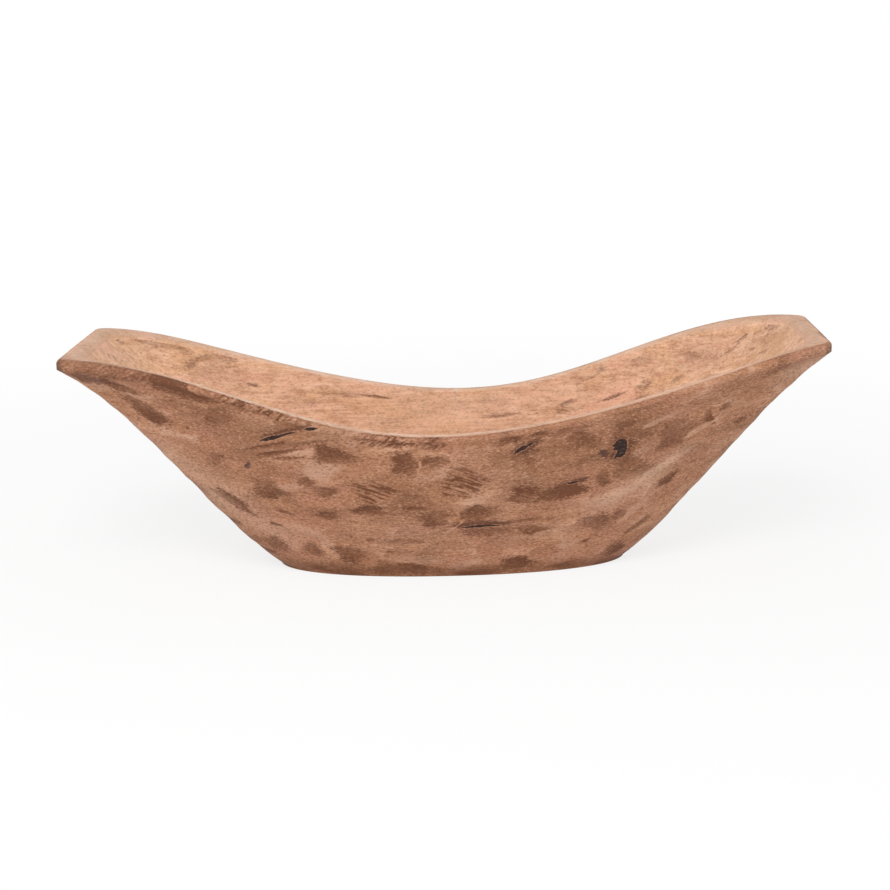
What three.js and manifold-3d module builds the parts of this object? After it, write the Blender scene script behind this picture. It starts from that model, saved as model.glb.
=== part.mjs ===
// A hand-carved, boat-shaped wooden bowl: one hollowed billet with a flat oval base, flared sides,
// squared ends that sweep up into prows, and a skin dressed all over with shallow gouge cuts.
// Dark filler closes a knot and five short drying cracks in its front wall.
// Millimetres, +X along the bowl, +Y to its back, +Z up, origin at the middle of the base.
import * as THREE from "three";
import { mergeVertices } from "three/addons/utils/BufferGeometryUtils.js";
import Module from "manifold-3d";

const wasm = await Module();
wasm.setup();

// Outside form
const LENGTH = 614; // end face to end face
const RIM_WIDTH = 182; // across the widest part of the rim
const END_WIDTH = 134; // across each squared end
const SIDE_FULLNESS = 5.5; // how late the rim starts to narrow towards the ends
const MIDDLE_HEIGHT = 128; // rim height at mid length
const END_HEIGHT = 192; // rim height at the ends
const END_THICKNESS = 8; // depth of the blunt face across each end
const END_SKEW = 4.8; // degrees that the end cuts are out of square
const END_CORNER = 7; // rounding of the four rim corners, in plan
const BASE_LENGTH = 293;
const BASE_WIDTH = 106;
const BASE_FULLNESS = 2.2; // 2 is an ellipse, more is squarer
const BASE_ROUND = 4; // rounded edge of the base
const SIDE_BELLY = 5; // how far the long walls swell past a straight line
const LEFT_HOLLOW = 8.5; // how far the left prow's underside is hollowed behind a straight line
const RIGHT_HOLLOW = 4.5; // the same for the right prow
const PROW_HOLLOW_RISE = 0.8; // share of the wall's rise where that hollow is deepest
const PROW_BELLY = 4.5; // how far the foot of each prow swells past the straight line
const PROW_BELLY_RISE = 0.16; // share of the wall's rise where that swell is fullest
const END_START = 0.55; // share of the half length where the side walls start to turn into the prows
const RIM_WANDER = 1.8; // how far the hand-cut rim strays above and below its true line
const WANDER_LENGTH = 284; // one full stray along the rim
const WANDER_START = -76; // where along the bowl the back rim strays highest

// Hollow
const RIM_THICKNESS = 13; // top of the long walls
const END_LIP = 18; // flat lip inside each end
const FLOOR_THICKNESS = 22;
const FLOOR_LENGTH = 200;
const FLOOR_WIDTH = 60;
const HOLLOW_CORNER = 24; // rounding of the hollow's corners, in plan
const SIDE_HOLLOWING = 1.7; // how steeply the hollow's long walls curve up: 1 is straight
const END_HOLLOWING = 1.15; // the same for the slopes up to the ends
const OUTER_EDGE = 3.5; // rounded outer edge of the rim
const INNER_EDGE = 2.5; // rounded inner edge of the rim along the sides
const LIP_EDGE = 9; // how much of each end's lip is eased over into the hollow
const LIP_FALL = 4.6; // how far the lip falls there

// Gouge cuts on the outside
const CUT_LENGTH = 40; // one cut, along the bowl
const CUT_HEIGHT = 27; // one cut, up the wall
const CUT_DEPTH = 1.5;
const CUT_SPACING = 34; // from cut to cut in a row
const ROW_SPACING = 22; // from row to row
const CUT_SCATTER = 0.3; // share of the spacing by which the carver's hand strays
const PROW_CUTS = 0.45; // share of the cuts' depth that is left on the smoother prows

// Filled knot and cracks
const FILL_DEPTH = 4.5;
const FILL_CLEARANCE = 0.3;

// Mesh steps
const SIDE_STEPS = 56;
const CORNER_STEPS = 3;
const END_STEPS = 10;
const WALL_STEPS = 16;
const HOLLOW_STEPS = 11;
const EDGE_STEPS = 2;
const CURVE_STEPS = 5;

const MANGO_WOOD = new THREE.MeshStandardMaterial({ color: 0xb98a68, roughness: 0.75, metalness: 0 });
const DARK_FILLER = new THREE.MeshStandardMaterial({ color: 0x2b2827, roughness: 0.55, metalness: 0 });

const { lerp, smoothstep, degToRad } = THREE.MathUtils;
const signedPower = (value, power) => Math.sign(value) * Math.abs(value) ** power;

// The stations run once round the bowl: front side, right end, back side, left end, with a corner between.
// On a side or an end, t goes from -1 to 1. On a corner it goes from 0 at the side to 1 at the end.
function stationsRound() {
  const stations = [];
  const side = (across, direction) => {
    for (let i = 0; i <= SIDE_STEPS; i++)
      stations.push({ kind: "side", across, t: direction * ((2 * i) / SIDE_STEPS - 1) });
  };
  const corner = (along, across, outward) => {
    for (let i = 1; i < CORNER_STEPS; i++) {
      const t = i / CORNER_STEPS;
      stations.push({ kind: "corner", along, across, t: outward ? t : 1 - t });
    }
  };
  const end = (along, direction) => {
    for (let i = 0; i <= END_STEPS; i++)
      stations.push({ kind: "end", along, t: direction * ((2 * i) / END_STEPS - 1) });
  };
  side(-1, 1);
  corner(1, -1, true);
  end(1, 1);
  corner(1, 1, false);
  side(1, -1);
  corner(-1, 1, true);
  end(-1, -1);
  corner(-1, -1, false);
  return stations;
}

// Half the rim's width at a share of the half length, before any inset.
function rimHalfWidth(share) {
  const taper = Math.min(1, Math.abs(share)) ** SIDE_FULLNESS;
  return lerp(RIM_WIDTH, END_WIDTH, taper) / 2;
}

// Height of the rim's top at a place in plan: an ogee sweep up to the ends, with the hand's wander.
function rimHeight({ x, y }) {
  const share = Math.min(1, Math.abs(x) / (LENGTH / 2));
  const sweep = 1 - (1 - share ** 2) ** 2;
  const wander = Math.cos((2 * Math.PI * (x - WANDER_START)) / WANDER_LENGTH);
  return lerp(MIDDLE_HEIGHT, END_HEIGHT, sweep) + RIM_WANDER * wander * (y / rimHalfWidth(share));
}

// The rim's plan outline, drawn in from its outer line by different amounts at the sides and the ends.
function rimOutline(station, sideInset, endInset, cornerRadius) {
  const halfLength = LENGTH / 2 - endInset;
  const halfWidth = (x) => rimHalfWidth(x / halfLength) - sideInset;
  const straight = halfLength - cornerRadius;
  const endHalf = halfWidth(halfLength) - cornerRadius;
  const { kind, along, across, t } = station;
  let point;
  if (kind === "side") point = new THREE.Vector2(t * straight, across * halfWidth(t * straight));
  else if (kind === "end") point = new THREE.Vector2(along * halfLength, t * endHalf);
  else
    point = new THREE.QuadraticBezierCurve(
      new THREE.Vector2(along * straight, across * halfWidth(straight)),
      new THREE.Vector2(along * halfLength, across * halfWidth(halfLength)),
      new THREE.Vector2(along * halfLength, across * endHalf),
    ).getPoint(t);
  const skew = Math.tan(degToRad(END_SKEW)) * (point.x / (LENGTH / 2)) ** 4;
  point.x += skew * point.y;
  return point;
}

// A full oval with the rim's stations: its long arcs lie under the sides and its noses under the ends.
const NOSE_ANGLE = degToRad(18); // from the oval's axis to where its nose ends
const QUARTER_ANGLE = degToRad(32); // from the oval's axis to where its long arc starts
function ovalOutline(station, halfLength, halfWidth) {
  const { kind, along, across, t } = station;
  let angle;
  if (kind === "side") angle = Math.PI / 2 - t * (Math.PI / 2 - QUARTER_ANGLE);
  else if (kind === "end") angle = t * NOSE_ANGLE;
  else angle = lerp(QUARTER_ANGLE, NOSE_ANGLE, t);
  const x = halfLength * signedPower(Math.cos(angle), 2 / BASE_FULLNESS);
  const y = halfWidth * signedPower(Math.sin(angle), 2 / BASE_FULLNESS);
  return new THREE.Vector2(kind === "side" ? x : along * x, kind === "end" ? y : across * y);
}

// 0 along the middle of the sides, 1 round the ends.
function endShare({ kind, t }) {
  return kind === "side" ? smoothstep(Math.abs(t), END_START, 1) : 1;
}

// A smooth swell between 0 and 1 that is 0 at both ends and 1 at its peak.
function swell(share, peak) {
  if (peak < 0.5) return swell(1 - share, 1 - peak);
  const power = peak / (1 - peak);
  return (share ** power * (1 - share)) / (peak ** power * (1 - peak));
}

// A point of the outer wall before gouging, from the base (rise 0) to under the rim's edge (rise 1).
function wallPoint(station, rise) {
  const foot = ovalOutline(station, BASE_LENGTH / 2, BASE_WIDTH / 2);
  const top = rimOutline(station, 0, 0, END_CORNER);
  const reach = top.clone().sub(foot);
  const ends = endShare(station);
  const belly = SIDE_BELLY * 4 * rise * (1 - rise);
  const prowHollow = top.x < 0 ? LEFT_HOLLOW : RIGHT_HOLLOW;
  const prow = PROW_BELLY * swell(rise, PROW_BELLY_RISE) - prowHollow * swell(rise, PROW_HOLLOW_RISE);
  const place = foot.addScaledVector(reach, rise + lerp(belly, prow, ends) / reach.length());
  const crown = rimHeight(top) - lerp(OUTER_EDGE, END_THICKNESS, ends);
  return new THREE.Vector3(place.x, place.y, lerp(BASE_ROUND, crown, rise));
}

// A point of the hollow, from the floor's edge (rise 0) to under the rim's inner edge (rise 1).
function hollowPoint(station, rise) {
  const foot = ovalOutline(station, FLOOR_LENGTH / 2, FLOOR_WIDTH / 2);
  const top = rimOutline(station, RIM_THICKNESS, END_LIP, HOLLOW_CORNER);
  const place = foot.lerp(top, rise);
  const ends = endShare(station);
  const steepness = lerp(SIDE_HOLLOWING, END_HOLLOWING, ends);
  const brink = rimHeight(top) - lerp(INNER_EDGE, LIP_FALL, ends);
  const height = lerp(FLOOR_THICKNESS, brink, rise ** steepness);
  return new THREE.Vector3(place.x, place.y, height);
}

// A repeatable stray from -1 to 1 for one gouge cut.
function stray(row, column, salt) {
  const wave = Math.sin(row * 12.9898 + column * 78.233 + salt * 37.719) * 43758.5453;
  return 2 * (wave - Math.floor(wave)) - 1;
}

// Depth of gouging at a place on the outer wall, measured round the bowl and up the wall.
function gougeDepth(round, up) {
  let depth = 0;
  const nearRow = Math.round(up / ROW_SPACING);
  for (let row = nearRow - 1; row <= nearRow + 1; row++) {
    const stagger = (row % 2) * 0.5;
    const nearColumn = Math.round(round / CUT_SPACING - stagger);
    for (let column = nearColumn - 1; column <= nearColumn + 1; column++) {
      const middle = (column + stagger + CUT_SCATTER * stray(row, column, 1)) * CUT_SPACING;
      const level = (row + CUT_SCATTER * stray(row, column, 2)) * ROW_SPACING;
      const reach = ((round - middle) / (CUT_LENGTH / 2)) ** 2 + ((up - level) / (CUT_HEIGHT / 2)) ** 2;
      const bite = CUT_DEPTH * (0.75 + 0.25 * stray(row, column, 3));
      depth = Math.max(depth, bite * (1 - reach));
    }
  }
  return depth;
}

// The outer wall as rings of points, with each point moved in by the gouge cut that it lies in.
function gougedWall(stations) {
  const rises = Array.from({ length: WALL_STEPS + 1 }, (_, i) => i / WALL_STEPS);
  const rings = rises.map((rise) => stations.map((station) => wallPoint(station, rise)));
  const middleRing = rings[Math.floor(WALL_STEPS / 2)];
  const roundAt = [0];
  for (let i = 1; i < stations.length; i++)
    roundAt.push(roundAt[i - 1] + middleRing[i].distanceTo(middleRing[i - 1]));
  const upAt = stations.map(() => 0);
  return rings.map((ring, level) =>
    ring.map((point, i) => {
      if (level === 0 || level === WALL_STEPS) return point.clone();
      upAt[i] += point.distanceTo(rings[level - 1][i]);
      const next = ring[(i + 1) % ring.length];
      const previous = ring[(i + ring.length - 1) % ring.length];
      const round = next.clone().sub(previous);
      const up = rings[level + 1][i].clone().sub(rings[level - 1][i]);
      const outward = round.cross(up).normalize();
      const share = lerp(1, PROW_CUTS, endShare(stations[i]));
      return point.clone().addScaledVector(outward, -share * gougeDepth(roundAt[i], upAt[i]));
    }),
  );
}

// One ring of points for each step of a rounded edge, drawn from the sine and cosine of its quarter turn.
function quarterRound(ringAt) {
  return Array.from({ length: EDGE_STEPS + 1 }, (_, i) => {
    const turned = (i / EDGE_STEPS) * (Math.PI / 2);
    return ringAt(Math.sin(turned), Math.cos(turned));
  });
}

// The whole billet, as one closed skin: base, outer wall, rim, hollow and floor.
function carvedBillet() {
  const stations = stationsRound();
  const baseEdge = quarterRound((out, down) =>
    stations.map((station) => {
      const inset = BASE_ROUND * (1 - out);
      const { x, y } = ovalOutline(station, BASE_LENGTH / 2 - inset, BASE_WIDTH / 2 - inset);
      return new THREE.Vector3(x, y, BASE_ROUND * (1 - down));
    }),
  ).slice(0, -1);
  const outerEdge = quarterRound((rise, out) =>
    stations.map((station) => {
      const inset = OUTER_EDGE * (1 - out);
      const place = rimOutline(station, inset, inset, END_CORNER);
      return new THREE.Vector3(place.x, place.y, rimHeight(place) - OUTER_EDGE * (1 - rise));
    }),
  );
  const innerEdge = quarterRound((across, up) =>
    stations.map((station) => {
      const ends = endShare(station);
      const inset = lerp(INNER_EDGE, LIP_EDGE, ends) * (1 - across);
      const place = rimOutline(station, RIM_THICKNESS - inset, END_LIP - inset, HOLLOW_CORNER);
      const fall = lerp(INNER_EDGE * (1 - up), LIP_FALL * across ** 2, ends);
      return new THREE.Vector3(place.x, place.y, rimHeight(place) - fall);
    }),
  );
  const hollow = Array.from({ length: HOLLOW_STEPS }, (_, i) => 1 - (i + 1) / HOLLOW_STEPS).map((rise) =>
    stations.map((station) => hollowPoint(station, rise)),
  );
  const rings = [...baseEdge, ...gougedWall(stations), ...outerEdge, ...innerEdge, ...hollow];
  return closedSkin(rings, new THREE.Vector3(0, 0, 0), new THREE.Vector3(0, 0, FLOOR_THICKNESS));
}

// Joins rings of equal count into one closed surface, capped by a fan to a point at each end.
function closedSkin(rings, firstCap, lastCap) {
  const count = rings[0].length;
  const points = [firstCap, ...rings.flat(), lastCap];
  const at = (ring, i) => 1 + ring * count + (i % count);
  const triangles = [];
  for (let i = 0; i < count; i++) {
    triangles.push(0, at(0, i + 1), at(0, i));
    for (let ring = 0; ring + 1 < rings.length; ring++) {
      triangles.push(at(ring, i), at(ring, i + 1), at(ring + 1, i + 1));
      triangles.push(at(ring, i), at(ring + 1, i + 1), at(ring + 1, i));
    }
    triangles.push(at(rings.length - 1, i), at(rings.length - 1, i + 1), points.length - 1);
  }
  const geometry = new THREE.BufferGeometry().setFromPoints(points);
  geometry.setIndex(triangles);
  return geometry;
}

// A pointed, leaf-shaped crack, bowed to one side.
function crackShape(length, width, bow, grow) {
  const tip = length / 2 + grow;
  const half = width / 2 + grow;
  const shape = new THREE.Shape();
  shape.moveTo(-tip, 0);
  shape.quadraticCurveTo(0, 2 * (bow - half), tip, 0);
  shape.quadraticCurveTo(0, 2 * (bow + half), -tip, 0);
  return shape;
}

// A knot: round on its right, with a bite out of its left where sound wood comes in.
function knotShape(width, height, bite, grow) {
  const half = width / 2 + grow;
  const top = height / 2 + grow;
  const bitten = bite - half - grow;
  const roundness = 1.2; // pull of the curves' handles, for a nearly round outline
  const shape = new THREE.Shape();
  shape.moveTo(0, -top);
  shape.bezierCurveTo(half * roundness, -top, half * roundness, top, 0, top);
  shape.bezierCurveTo(-half * roundness, top, -half * roundness, 0, bitten, 0);
  shape.bezierCurveTo(bitten, -top / 2, -half * roundness, -top / 2, 0, -top);
  return shape;
}

// Each fill's outline and its sizes, its place on the front wall as shares of the half length and of the
// wall's rise, and its turn in degrees from level.
const FILLS = [
  { name: "knot_fill", form: knotShape, sizes: [14, 18, 4], along: 0.485, rise: 0.755, turn: 8 },
  { name: "curved_crack_fill", form: crackShape, sizes: [19, 4.6, 1.2], along: 0.184, rise: 0.895, turn: 28 },
  { name: "long_crack_fill", form: crackShape, sizes: [33, 3, 0.5], along: -0.49, rise: 0.862, turn: 16 },
  { name: "rim_crack_fill", form: crackShape, sizes: [11, 3, 0.2], along: -0.38, rise: 0.98, turn: 8 },
  { name: "lower_crack_fill", form: crackShape, sizes: [35, 3.2, 0.4], along: 0.083, rise: 0.37, turn: 3 },
  { name: "short_crack_fill", form: crackShape, sizes: [10, 2.2, 0.2], along: 0.374, rise: 0.588, turn: 8 },
];

// A fill as a plug through the front wall's skin, sunk square to the wall and grown all round by a clearance.
function plug({ form, sizes, along, rise, turn }, grow) {
  const sunk = FILL_DEPTH + grow;
  const front = (t) => ({ kind: "side", across: -1, t });
  const step = 0.01;
  const place = wallPoint(front(along), rise);
  const forward = wallPoint(front(along + step), rise).sub(wallPoint(front(along - step), rise));
  const upward = wallPoint(front(along), rise + step).sub(wallPoint(front(along), rise - step));
  const out = forward.cross(upward).normalize();
  const level = new THREE.Vector3(0, 0, 1).cross(out).normalize();
  const frame = new THREE.Matrix4().makeBasis(level, out.clone().cross(level), out).setPosition(place);
  const extrusion = { depth: 2 * sunk, bevelEnabled: false, curveSegments: CURVE_STEPS };
  return new THREE.ExtrudeGeometry(form(...sizes, grow), extrusion)
    .translate(0, 0, -sunk)
    .rotateZ(degToRad(turn))
    .applyMatrix4(frame);
}

function solidOf(geometry) {
  const bare = geometry.clone();
  bare.deleteAttribute("normal").deleteAttribute("uv");
  const merged = mergeVertices(bare, 1e-4);
  return new wasm.Manifold(
    new wasm.Mesh({
      numProp: 3,
      vertProperties: merged.attributes.position.array,
      triVerts: new Uint32Array(merged.index.array),
    }),
  );
}

function meshOf(name, solid, material) {
  const { vertProperties, triVerts } = solid.getMesh();
  const geometry = new THREE.BufferGeometry();
  geometry.setAttribute("position", new THREE.BufferAttribute(vertProperties, 3));
  geometry.setIndex(new THREE.BufferAttribute(triVerts, 1));
  geometry.computeVertexNormals();
  const mesh = new THREE.Mesh(geometry, material);
  mesh.name = name;
  return mesh;
}

const bowl = new THREE.Group();
const billet = solidOf(carvedBillet());
let body = billet;
for (const fill of FILLS) {
  body = body.subtract(solidOf(plug(fill, FILL_CLEARANCE)));
  const inlay = billet.intersect(solidOf(plug(fill, 0)));
  bowl.add(meshOf(fill.name, inlay, DARK_FILLER));
}
bowl.add(meshOf("bowl_body", body, MANGO_WOOD));

export default bowl;
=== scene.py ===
"""Dresses the carved mango wood bowl: its gouged and stained outside, sanded hollow, and filled cracks."""

import logging
import math
from dataclasses import dataclass, field, replace
from enum import Enum, IntEnum
from typing import Optional, Sequence

import bpy
import numpy as np
from mathutils import Matrix, Vector


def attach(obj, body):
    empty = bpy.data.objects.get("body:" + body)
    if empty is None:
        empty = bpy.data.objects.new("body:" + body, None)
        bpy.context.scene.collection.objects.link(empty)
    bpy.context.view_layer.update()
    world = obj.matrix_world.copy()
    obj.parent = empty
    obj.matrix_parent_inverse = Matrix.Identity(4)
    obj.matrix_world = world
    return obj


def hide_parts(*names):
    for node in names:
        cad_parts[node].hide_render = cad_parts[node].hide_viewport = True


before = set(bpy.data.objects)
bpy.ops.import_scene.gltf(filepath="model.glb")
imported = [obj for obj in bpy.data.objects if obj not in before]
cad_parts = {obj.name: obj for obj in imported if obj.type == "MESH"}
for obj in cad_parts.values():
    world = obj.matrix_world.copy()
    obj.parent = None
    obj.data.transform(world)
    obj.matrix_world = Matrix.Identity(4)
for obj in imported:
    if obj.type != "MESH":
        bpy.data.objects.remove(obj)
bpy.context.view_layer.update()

log = logging.getLogger("bowl")

MM = 0.001
BODY = "root"
UPRIGHT = (0.0, 0.0, 1.0)
FULL_TURN = 2 * math.pi

# What is stored for the finish at each point of the skin, beside its region and its worn edges
PATCH_FIELDS = ("reach", "dark", "comb", "blue", "facet", "wash_and_painted_light")
STORED_FIELDS = (*PATCH_FIELDS, "ridge", "grain")

# A point's reach where no stain comes near it
OUT_OF_REACH = -1.0
# How much deeper than its neighbour a cut is where the ridge between them ends, in millimetres
RIDGE_DROP = 0.25
# How fast a soft patch of stain, painted shade or painted light fades from its middle
WASH_AND_LIGHT_FADE = 1.5
# How much stronger or weaker a stain is at its edges than in its middle
STAIN_LEAN = 0.4
# The lobes of a mark's outline: how many there are, and how far they swell
LOBES = ((2, 0.14), (3, 0.13), (5, 0.09))
# The range of the marks' own tones
MARK_TONES = (-1, 0.5)
# What a mark's place is multiplied by for its seed
SEED_STEPS = (7, 13)

Array = np.ndarray
Colour = tuple[float, float, float]
Socket = bpy.types.NodeSocket


def srgb(red: int, green: int, blue: int) -> Colour:
    """Turns a screen colour of 0 to 255 into linear light.

    Args:
        red: the red share.
        green: the green share.
        blue: the blue share.

    Returns:
        The linear colour, 0 to 1.
    """
    def linear(value: float) -> float:
        """One channel in linear light."""
        return value / 12.92 if value <= 0.04045 else ((value + 0.055) / 1.055) ** 2.4
    return tuple(linear(channel / 255) for channel in (red, green, blue))


def smooth(value: Array, low: float, high: float) -> Array:
    """A smooth step from 0 at low to 1 at high."""
    share = np.clip((value - low) / (high - low), 0, 1)
    return share * share * (3 - 2 * share)


def lerp(start: Array, end: Array, share: Array) -> Array:
    """The value a share of the way from start to end."""
    return start + (end - start) * share


def swell(share: float, peak: float) -> float:
    """A smooth swell that is 0 at both ends and 1 at its peak.

    Args:
        share: the place, 0 to 1.
        peak: where the peak is, 0 to 1.

    Returns:
        The swell's height at the place.
    """
    if peak < 0.5:
        return swell(1 - share, 1 - peak)
    power = peak / (1 - peak)
    return share ** power * (1 - share) / (peak ** power * (1 - peak))


def lopsided(along: Array, across: Array, lean: Array) -> Array:
    """A stain's strength, which leans to one side: lean is the angle of its stronger side."""
    return 1 + STAIN_LEAN * np.clip(np.cos(lean) * along + np.sin(lean) * across, -1, 1)


def along_surface(out: Array) -> tuple[Array, Array]:
    """Finds the directions along a surface.

    Args:
        out: its outward direction.

    Returns:
        The level direction and the upward direction.
    """
    level = np.cross(UPRIGHT, out)
    level /= np.linalg.norm(level)
    return level, np.cross(out, level)


class Stretch(Enum):
    """The stretches of the bowl's outline."""
    SIDE = 0
    CORNER = 1
    END = 2


class Region(Enum):
    """The parts of the wood's skin, with their share of the hollow's paler finish."""
    OUTSIDE = 0.0
    RIM = 0.8
    HOLLOW = 1.0


@dataclass
class Stations:
    """Places once round the bowl: front side, right end, back side and left end, with corners between.

    On a side or an end, t goes from -1 to 1. On a corner it goes from 0 at the side to 1 at the end.
    """
    kind: Array
    along: Array
    across: Array
    t: Array

    @classmethod
    def round_bowl(cls, front_steps: int, back_steps: int, corner_steps: int, end_steps: int) -> "Stations":
        """Lays out the stations.

        Args:
            front_steps: steps along the front side.
            back_steps: steps along the back side.
            corner_steps: steps round each corner.
            end_steps: steps across each end.

        Returns:
            The stations, anticlockwise from above.
        """
        front = np.linspace(-1, 1, front_steps + 1)
        back = np.linspace(1, -1, back_steps + 1)
        corner = np.arange(1, corner_steps) / corner_steps
        end = np.linspace(-1, 1, end_steps + 1)
        runs = (
            (Stretch.SIDE, 0, -1, front), (Stretch.CORNER, 1, -1, corner), (Stretch.END, 1, 0, end),
            (Stretch.CORNER, 1, 1, 1 - corner), (Stretch.SIDE, 0, 1, back), (Stretch.CORNER, -1, 1, corner),
            (Stretch.END, -1, 0, -end), (Stretch.CORNER, -1, -1, 1 - corner),
        )
        return cls(
            np.concatenate([np.full(len(t), kind.value) for kind, _, _, t in runs]),
            np.concatenate([np.full(len(t), float(along)) for _, along, _, t in runs]),
            np.concatenate([np.full(len(t), float(across)) for _, _, across, t in runs]),
            np.concatenate([t for _, _, _, t in runs]),
        )

    @classmethod
    def on_front(cls, t: float) -> "Stations":
        """One station on the front side."""
        return cls(np.array([Stretch.SIDE.value]), np.zeros(1), np.full(1, -1.0), np.array([t]))

    def is_kind(self, kind: Stretch) -> Array:
        """Which stations lie on one kind of stretch."""
        return self.kind == kind.value


@dataclass(frozen=True)
class BowlForm:
    """The bowl's sizes in millimetres, and the surfaces that they give.

    The sizes are those of its solid model, apart from the smaller rounding of the foot, base_round.

    Attributes:
        length: from end face to end face, along the middle.
        rim_width: the rim's width at its middle.
        end_width: the rim's width at its ends.
        side_fullness: how long the sides stay wide, as a power.
        middle_height: height of the rim's middle.
        end_height: height of the rim's ends.
        end_thickness: height of the blunt end faces.
        end_skew: degrees that the ends slant in plan.
        end_corner: radius of the rim's corners.
        base_length: the base's length.
        base_width: the base's width.
        base_fullness: the power of the base's and the floor's ovals, 2 for an ellipse.
        base_round: rounding of the foot.
        side_belly: how far the sides bulge.
        left_hollow: how far the left prow is hollowed under its tip.
        right_hollow: how far the right prow is hollowed there.
        prow_hollow_rise: where that is deepest, as a share of the rise.
        prow_belly: how far the prows bulge low down.
        prow_belly_rise: where that is fullest, as a share of the rise.
        end_start: the share of a side's half length at which it starts to turn into a prow.
        rim_wander: how far the rim strays from its even sweep.
        wander_length: length of one wave of that.
        wander_start: where along the bowl a wave has its crest.
        rim_thickness: the wall's thickness at the rim, on the sides.
        end_lip: the same at the ends.
        floor_thickness: height of the hollow's floor above the base.
        floor_length: the floor's length.
        floor_width: the floor's width.
        hollow_corner: radius of the hollow's corners at the rim.
        side_hollowing: the power of the hollow's slope on the sides, 1 for a straight slope.
        end_hollowing: the same at the ends.
        outer_edge: rounding of the rim's outer edge.
        inner_edge: rounding of its inner edge on the sides.
        lip_edge: width of the eased lips at the ends.
        lip_fall: how far the lips fall.
        nose_angle: the ovals' angle, in radians, from their tip to where an end stops.
        quarter_angle: the ovals' angle, in radians, from their tip to where a side starts.
    """
    length: float = 614
    rim_width: float = 182
    end_width: float = 134
    side_fullness: float = 5.5
    middle_height: float = 128
    end_height: float = 192
    end_thickness: float = 8
    end_skew: float = 4.8
    end_corner: float = 7
    base_length: float = 293
    base_width: float = 106
    base_fullness: float = 2.2
    base_round: float = 2
    side_belly: float = 5
    left_hollow: float = 8.5
    right_hollow: float = 4.5
    prow_hollow_rise: float = 0.8
    prow_belly: float = 4.5
    prow_belly_rise: float = 0.16
    end_start: float = 0.55
    rim_wander: float = 1.8
    wander_length: float = 284
    wander_start: float = -76
    rim_thickness: float = 13
    end_lip: float = 18
    floor_thickness: float = 22
    floor_length: float = 200
    floor_width: float = 60
    hollow_corner: float = 24
    side_hollowing: float = 1.7
    end_hollowing: float = 1.15
    outer_edge: float = 3.5
    inner_edge: float = 2.5
    lip_edge: float = 9
    lip_fall: float = 4.6
    nose_angle: float = math.radians(18)
    quarter_angle: float = math.radians(32)

    def rim_half_width(self, share: Array) -> Array:
        """Half the rim's width at a share of the half length."""
        taper = np.minimum(1, np.abs(share)) ** self.side_fullness
        return lerp(self.rim_width, self.end_width, taper) / 2

    def rim_height(self, x: Array, y: Array) -> Array:
        """Height of the rim's top.

        Args:
            x: places along the bowl.
            y: places across it.

        Returns:
            The height at each place.
        """
        share = np.minimum(1, np.abs(x) / (self.length / 2))
        sweep = 1 - (1 - share ** 2) ** 2
        wander = np.cos(2 * np.pi * (x - self.wander_start) / self.wander_length)
        stray = self.rim_wander * wander * y / self.rim_half_width(share)
        return lerp(self.middle_height, self.end_height, sweep) + stray

    def rim_outline(
        self, at: Stations, side_inset: float, end_inset: float, corner: float
    ) -> tuple[Array, Array]:
        """The rim's outline in plan, drawn in from its outer line.

        Args:
            at: the stations.
            side_inset: how far the sides are drawn in.
            end_inset: how far the ends are drawn in.
            corner: radius of the corners.

        Returns:
            x and y of each station.
        """
        half = self.length / 2 - end_inset
        straight = half - corner

        def half_width(x: Array) -> Array:
            """Half the width at a distance from the middle."""
            return self.rim_half_width(x / half) - side_inset
        end_half = half_width(half) - corner
        t = at.t
        first, middle, last = (1 - t) ** 2, 2 * t * (1 - t), t ** 2
        corner_x = at.along * (first * straight + (middle + last) * half)
        corner_y = at.across * (first * half_width(straight) + middle * half_width(half) + last * end_half)
        kinds = [at.is_kind(Stretch.SIDE), at.is_kind(Stretch.CORNER)]
        x = np.select(kinds, [t * straight, corner_x], at.along * half)
        y = np.select(kinds, [at.across * half_width(t * straight), corner_y], t * end_half)
        x = x + math.tan(math.radians(self.end_skew)) * (x / (self.length / 2)) ** 4 * y
        return x, y

    def oval(self, at: Stations, half_length: float, half_width: float) -> tuple[Array, Array]:
        """A full oval with the rim's stations, for the base and the hollow's floor.

        Args:
            at: the stations.
            half_length: half its length.
            half_width: half its width.

        Returns:
            x and y of each station.
        """
        quarter = np.pi / 2 - self.quarter_angle
        kinds = [at.is_kind(Stretch.SIDE), at.is_kind(Stretch.CORNER)]
        angle = np.select(
            kinds,
            [np.pi / 2 - at.t * quarter, lerp(self.quarter_angle, self.nose_angle, at.t)],
            at.t * self.nose_angle,
        )
        power = 2 / self.base_fullness
        cosine, sine = np.cos(angle), np.sin(angle)
        x = half_length * np.sign(cosine) * np.abs(cosine) ** power
        y = half_width * np.sign(sine) * np.abs(sine) ** power
        return np.where(kinds[0], x, at.along * x), np.where(at.is_kind(Stretch.END), y, at.across * y)

    def end_share(self, at: Stations) -> Array:
        """0 along the middle of the sides, 1 round the ends."""
        return np.where(at.is_kind(Stretch.SIDE), smooth(np.abs(at.t), self.end_start, 1), 1.0)

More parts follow.
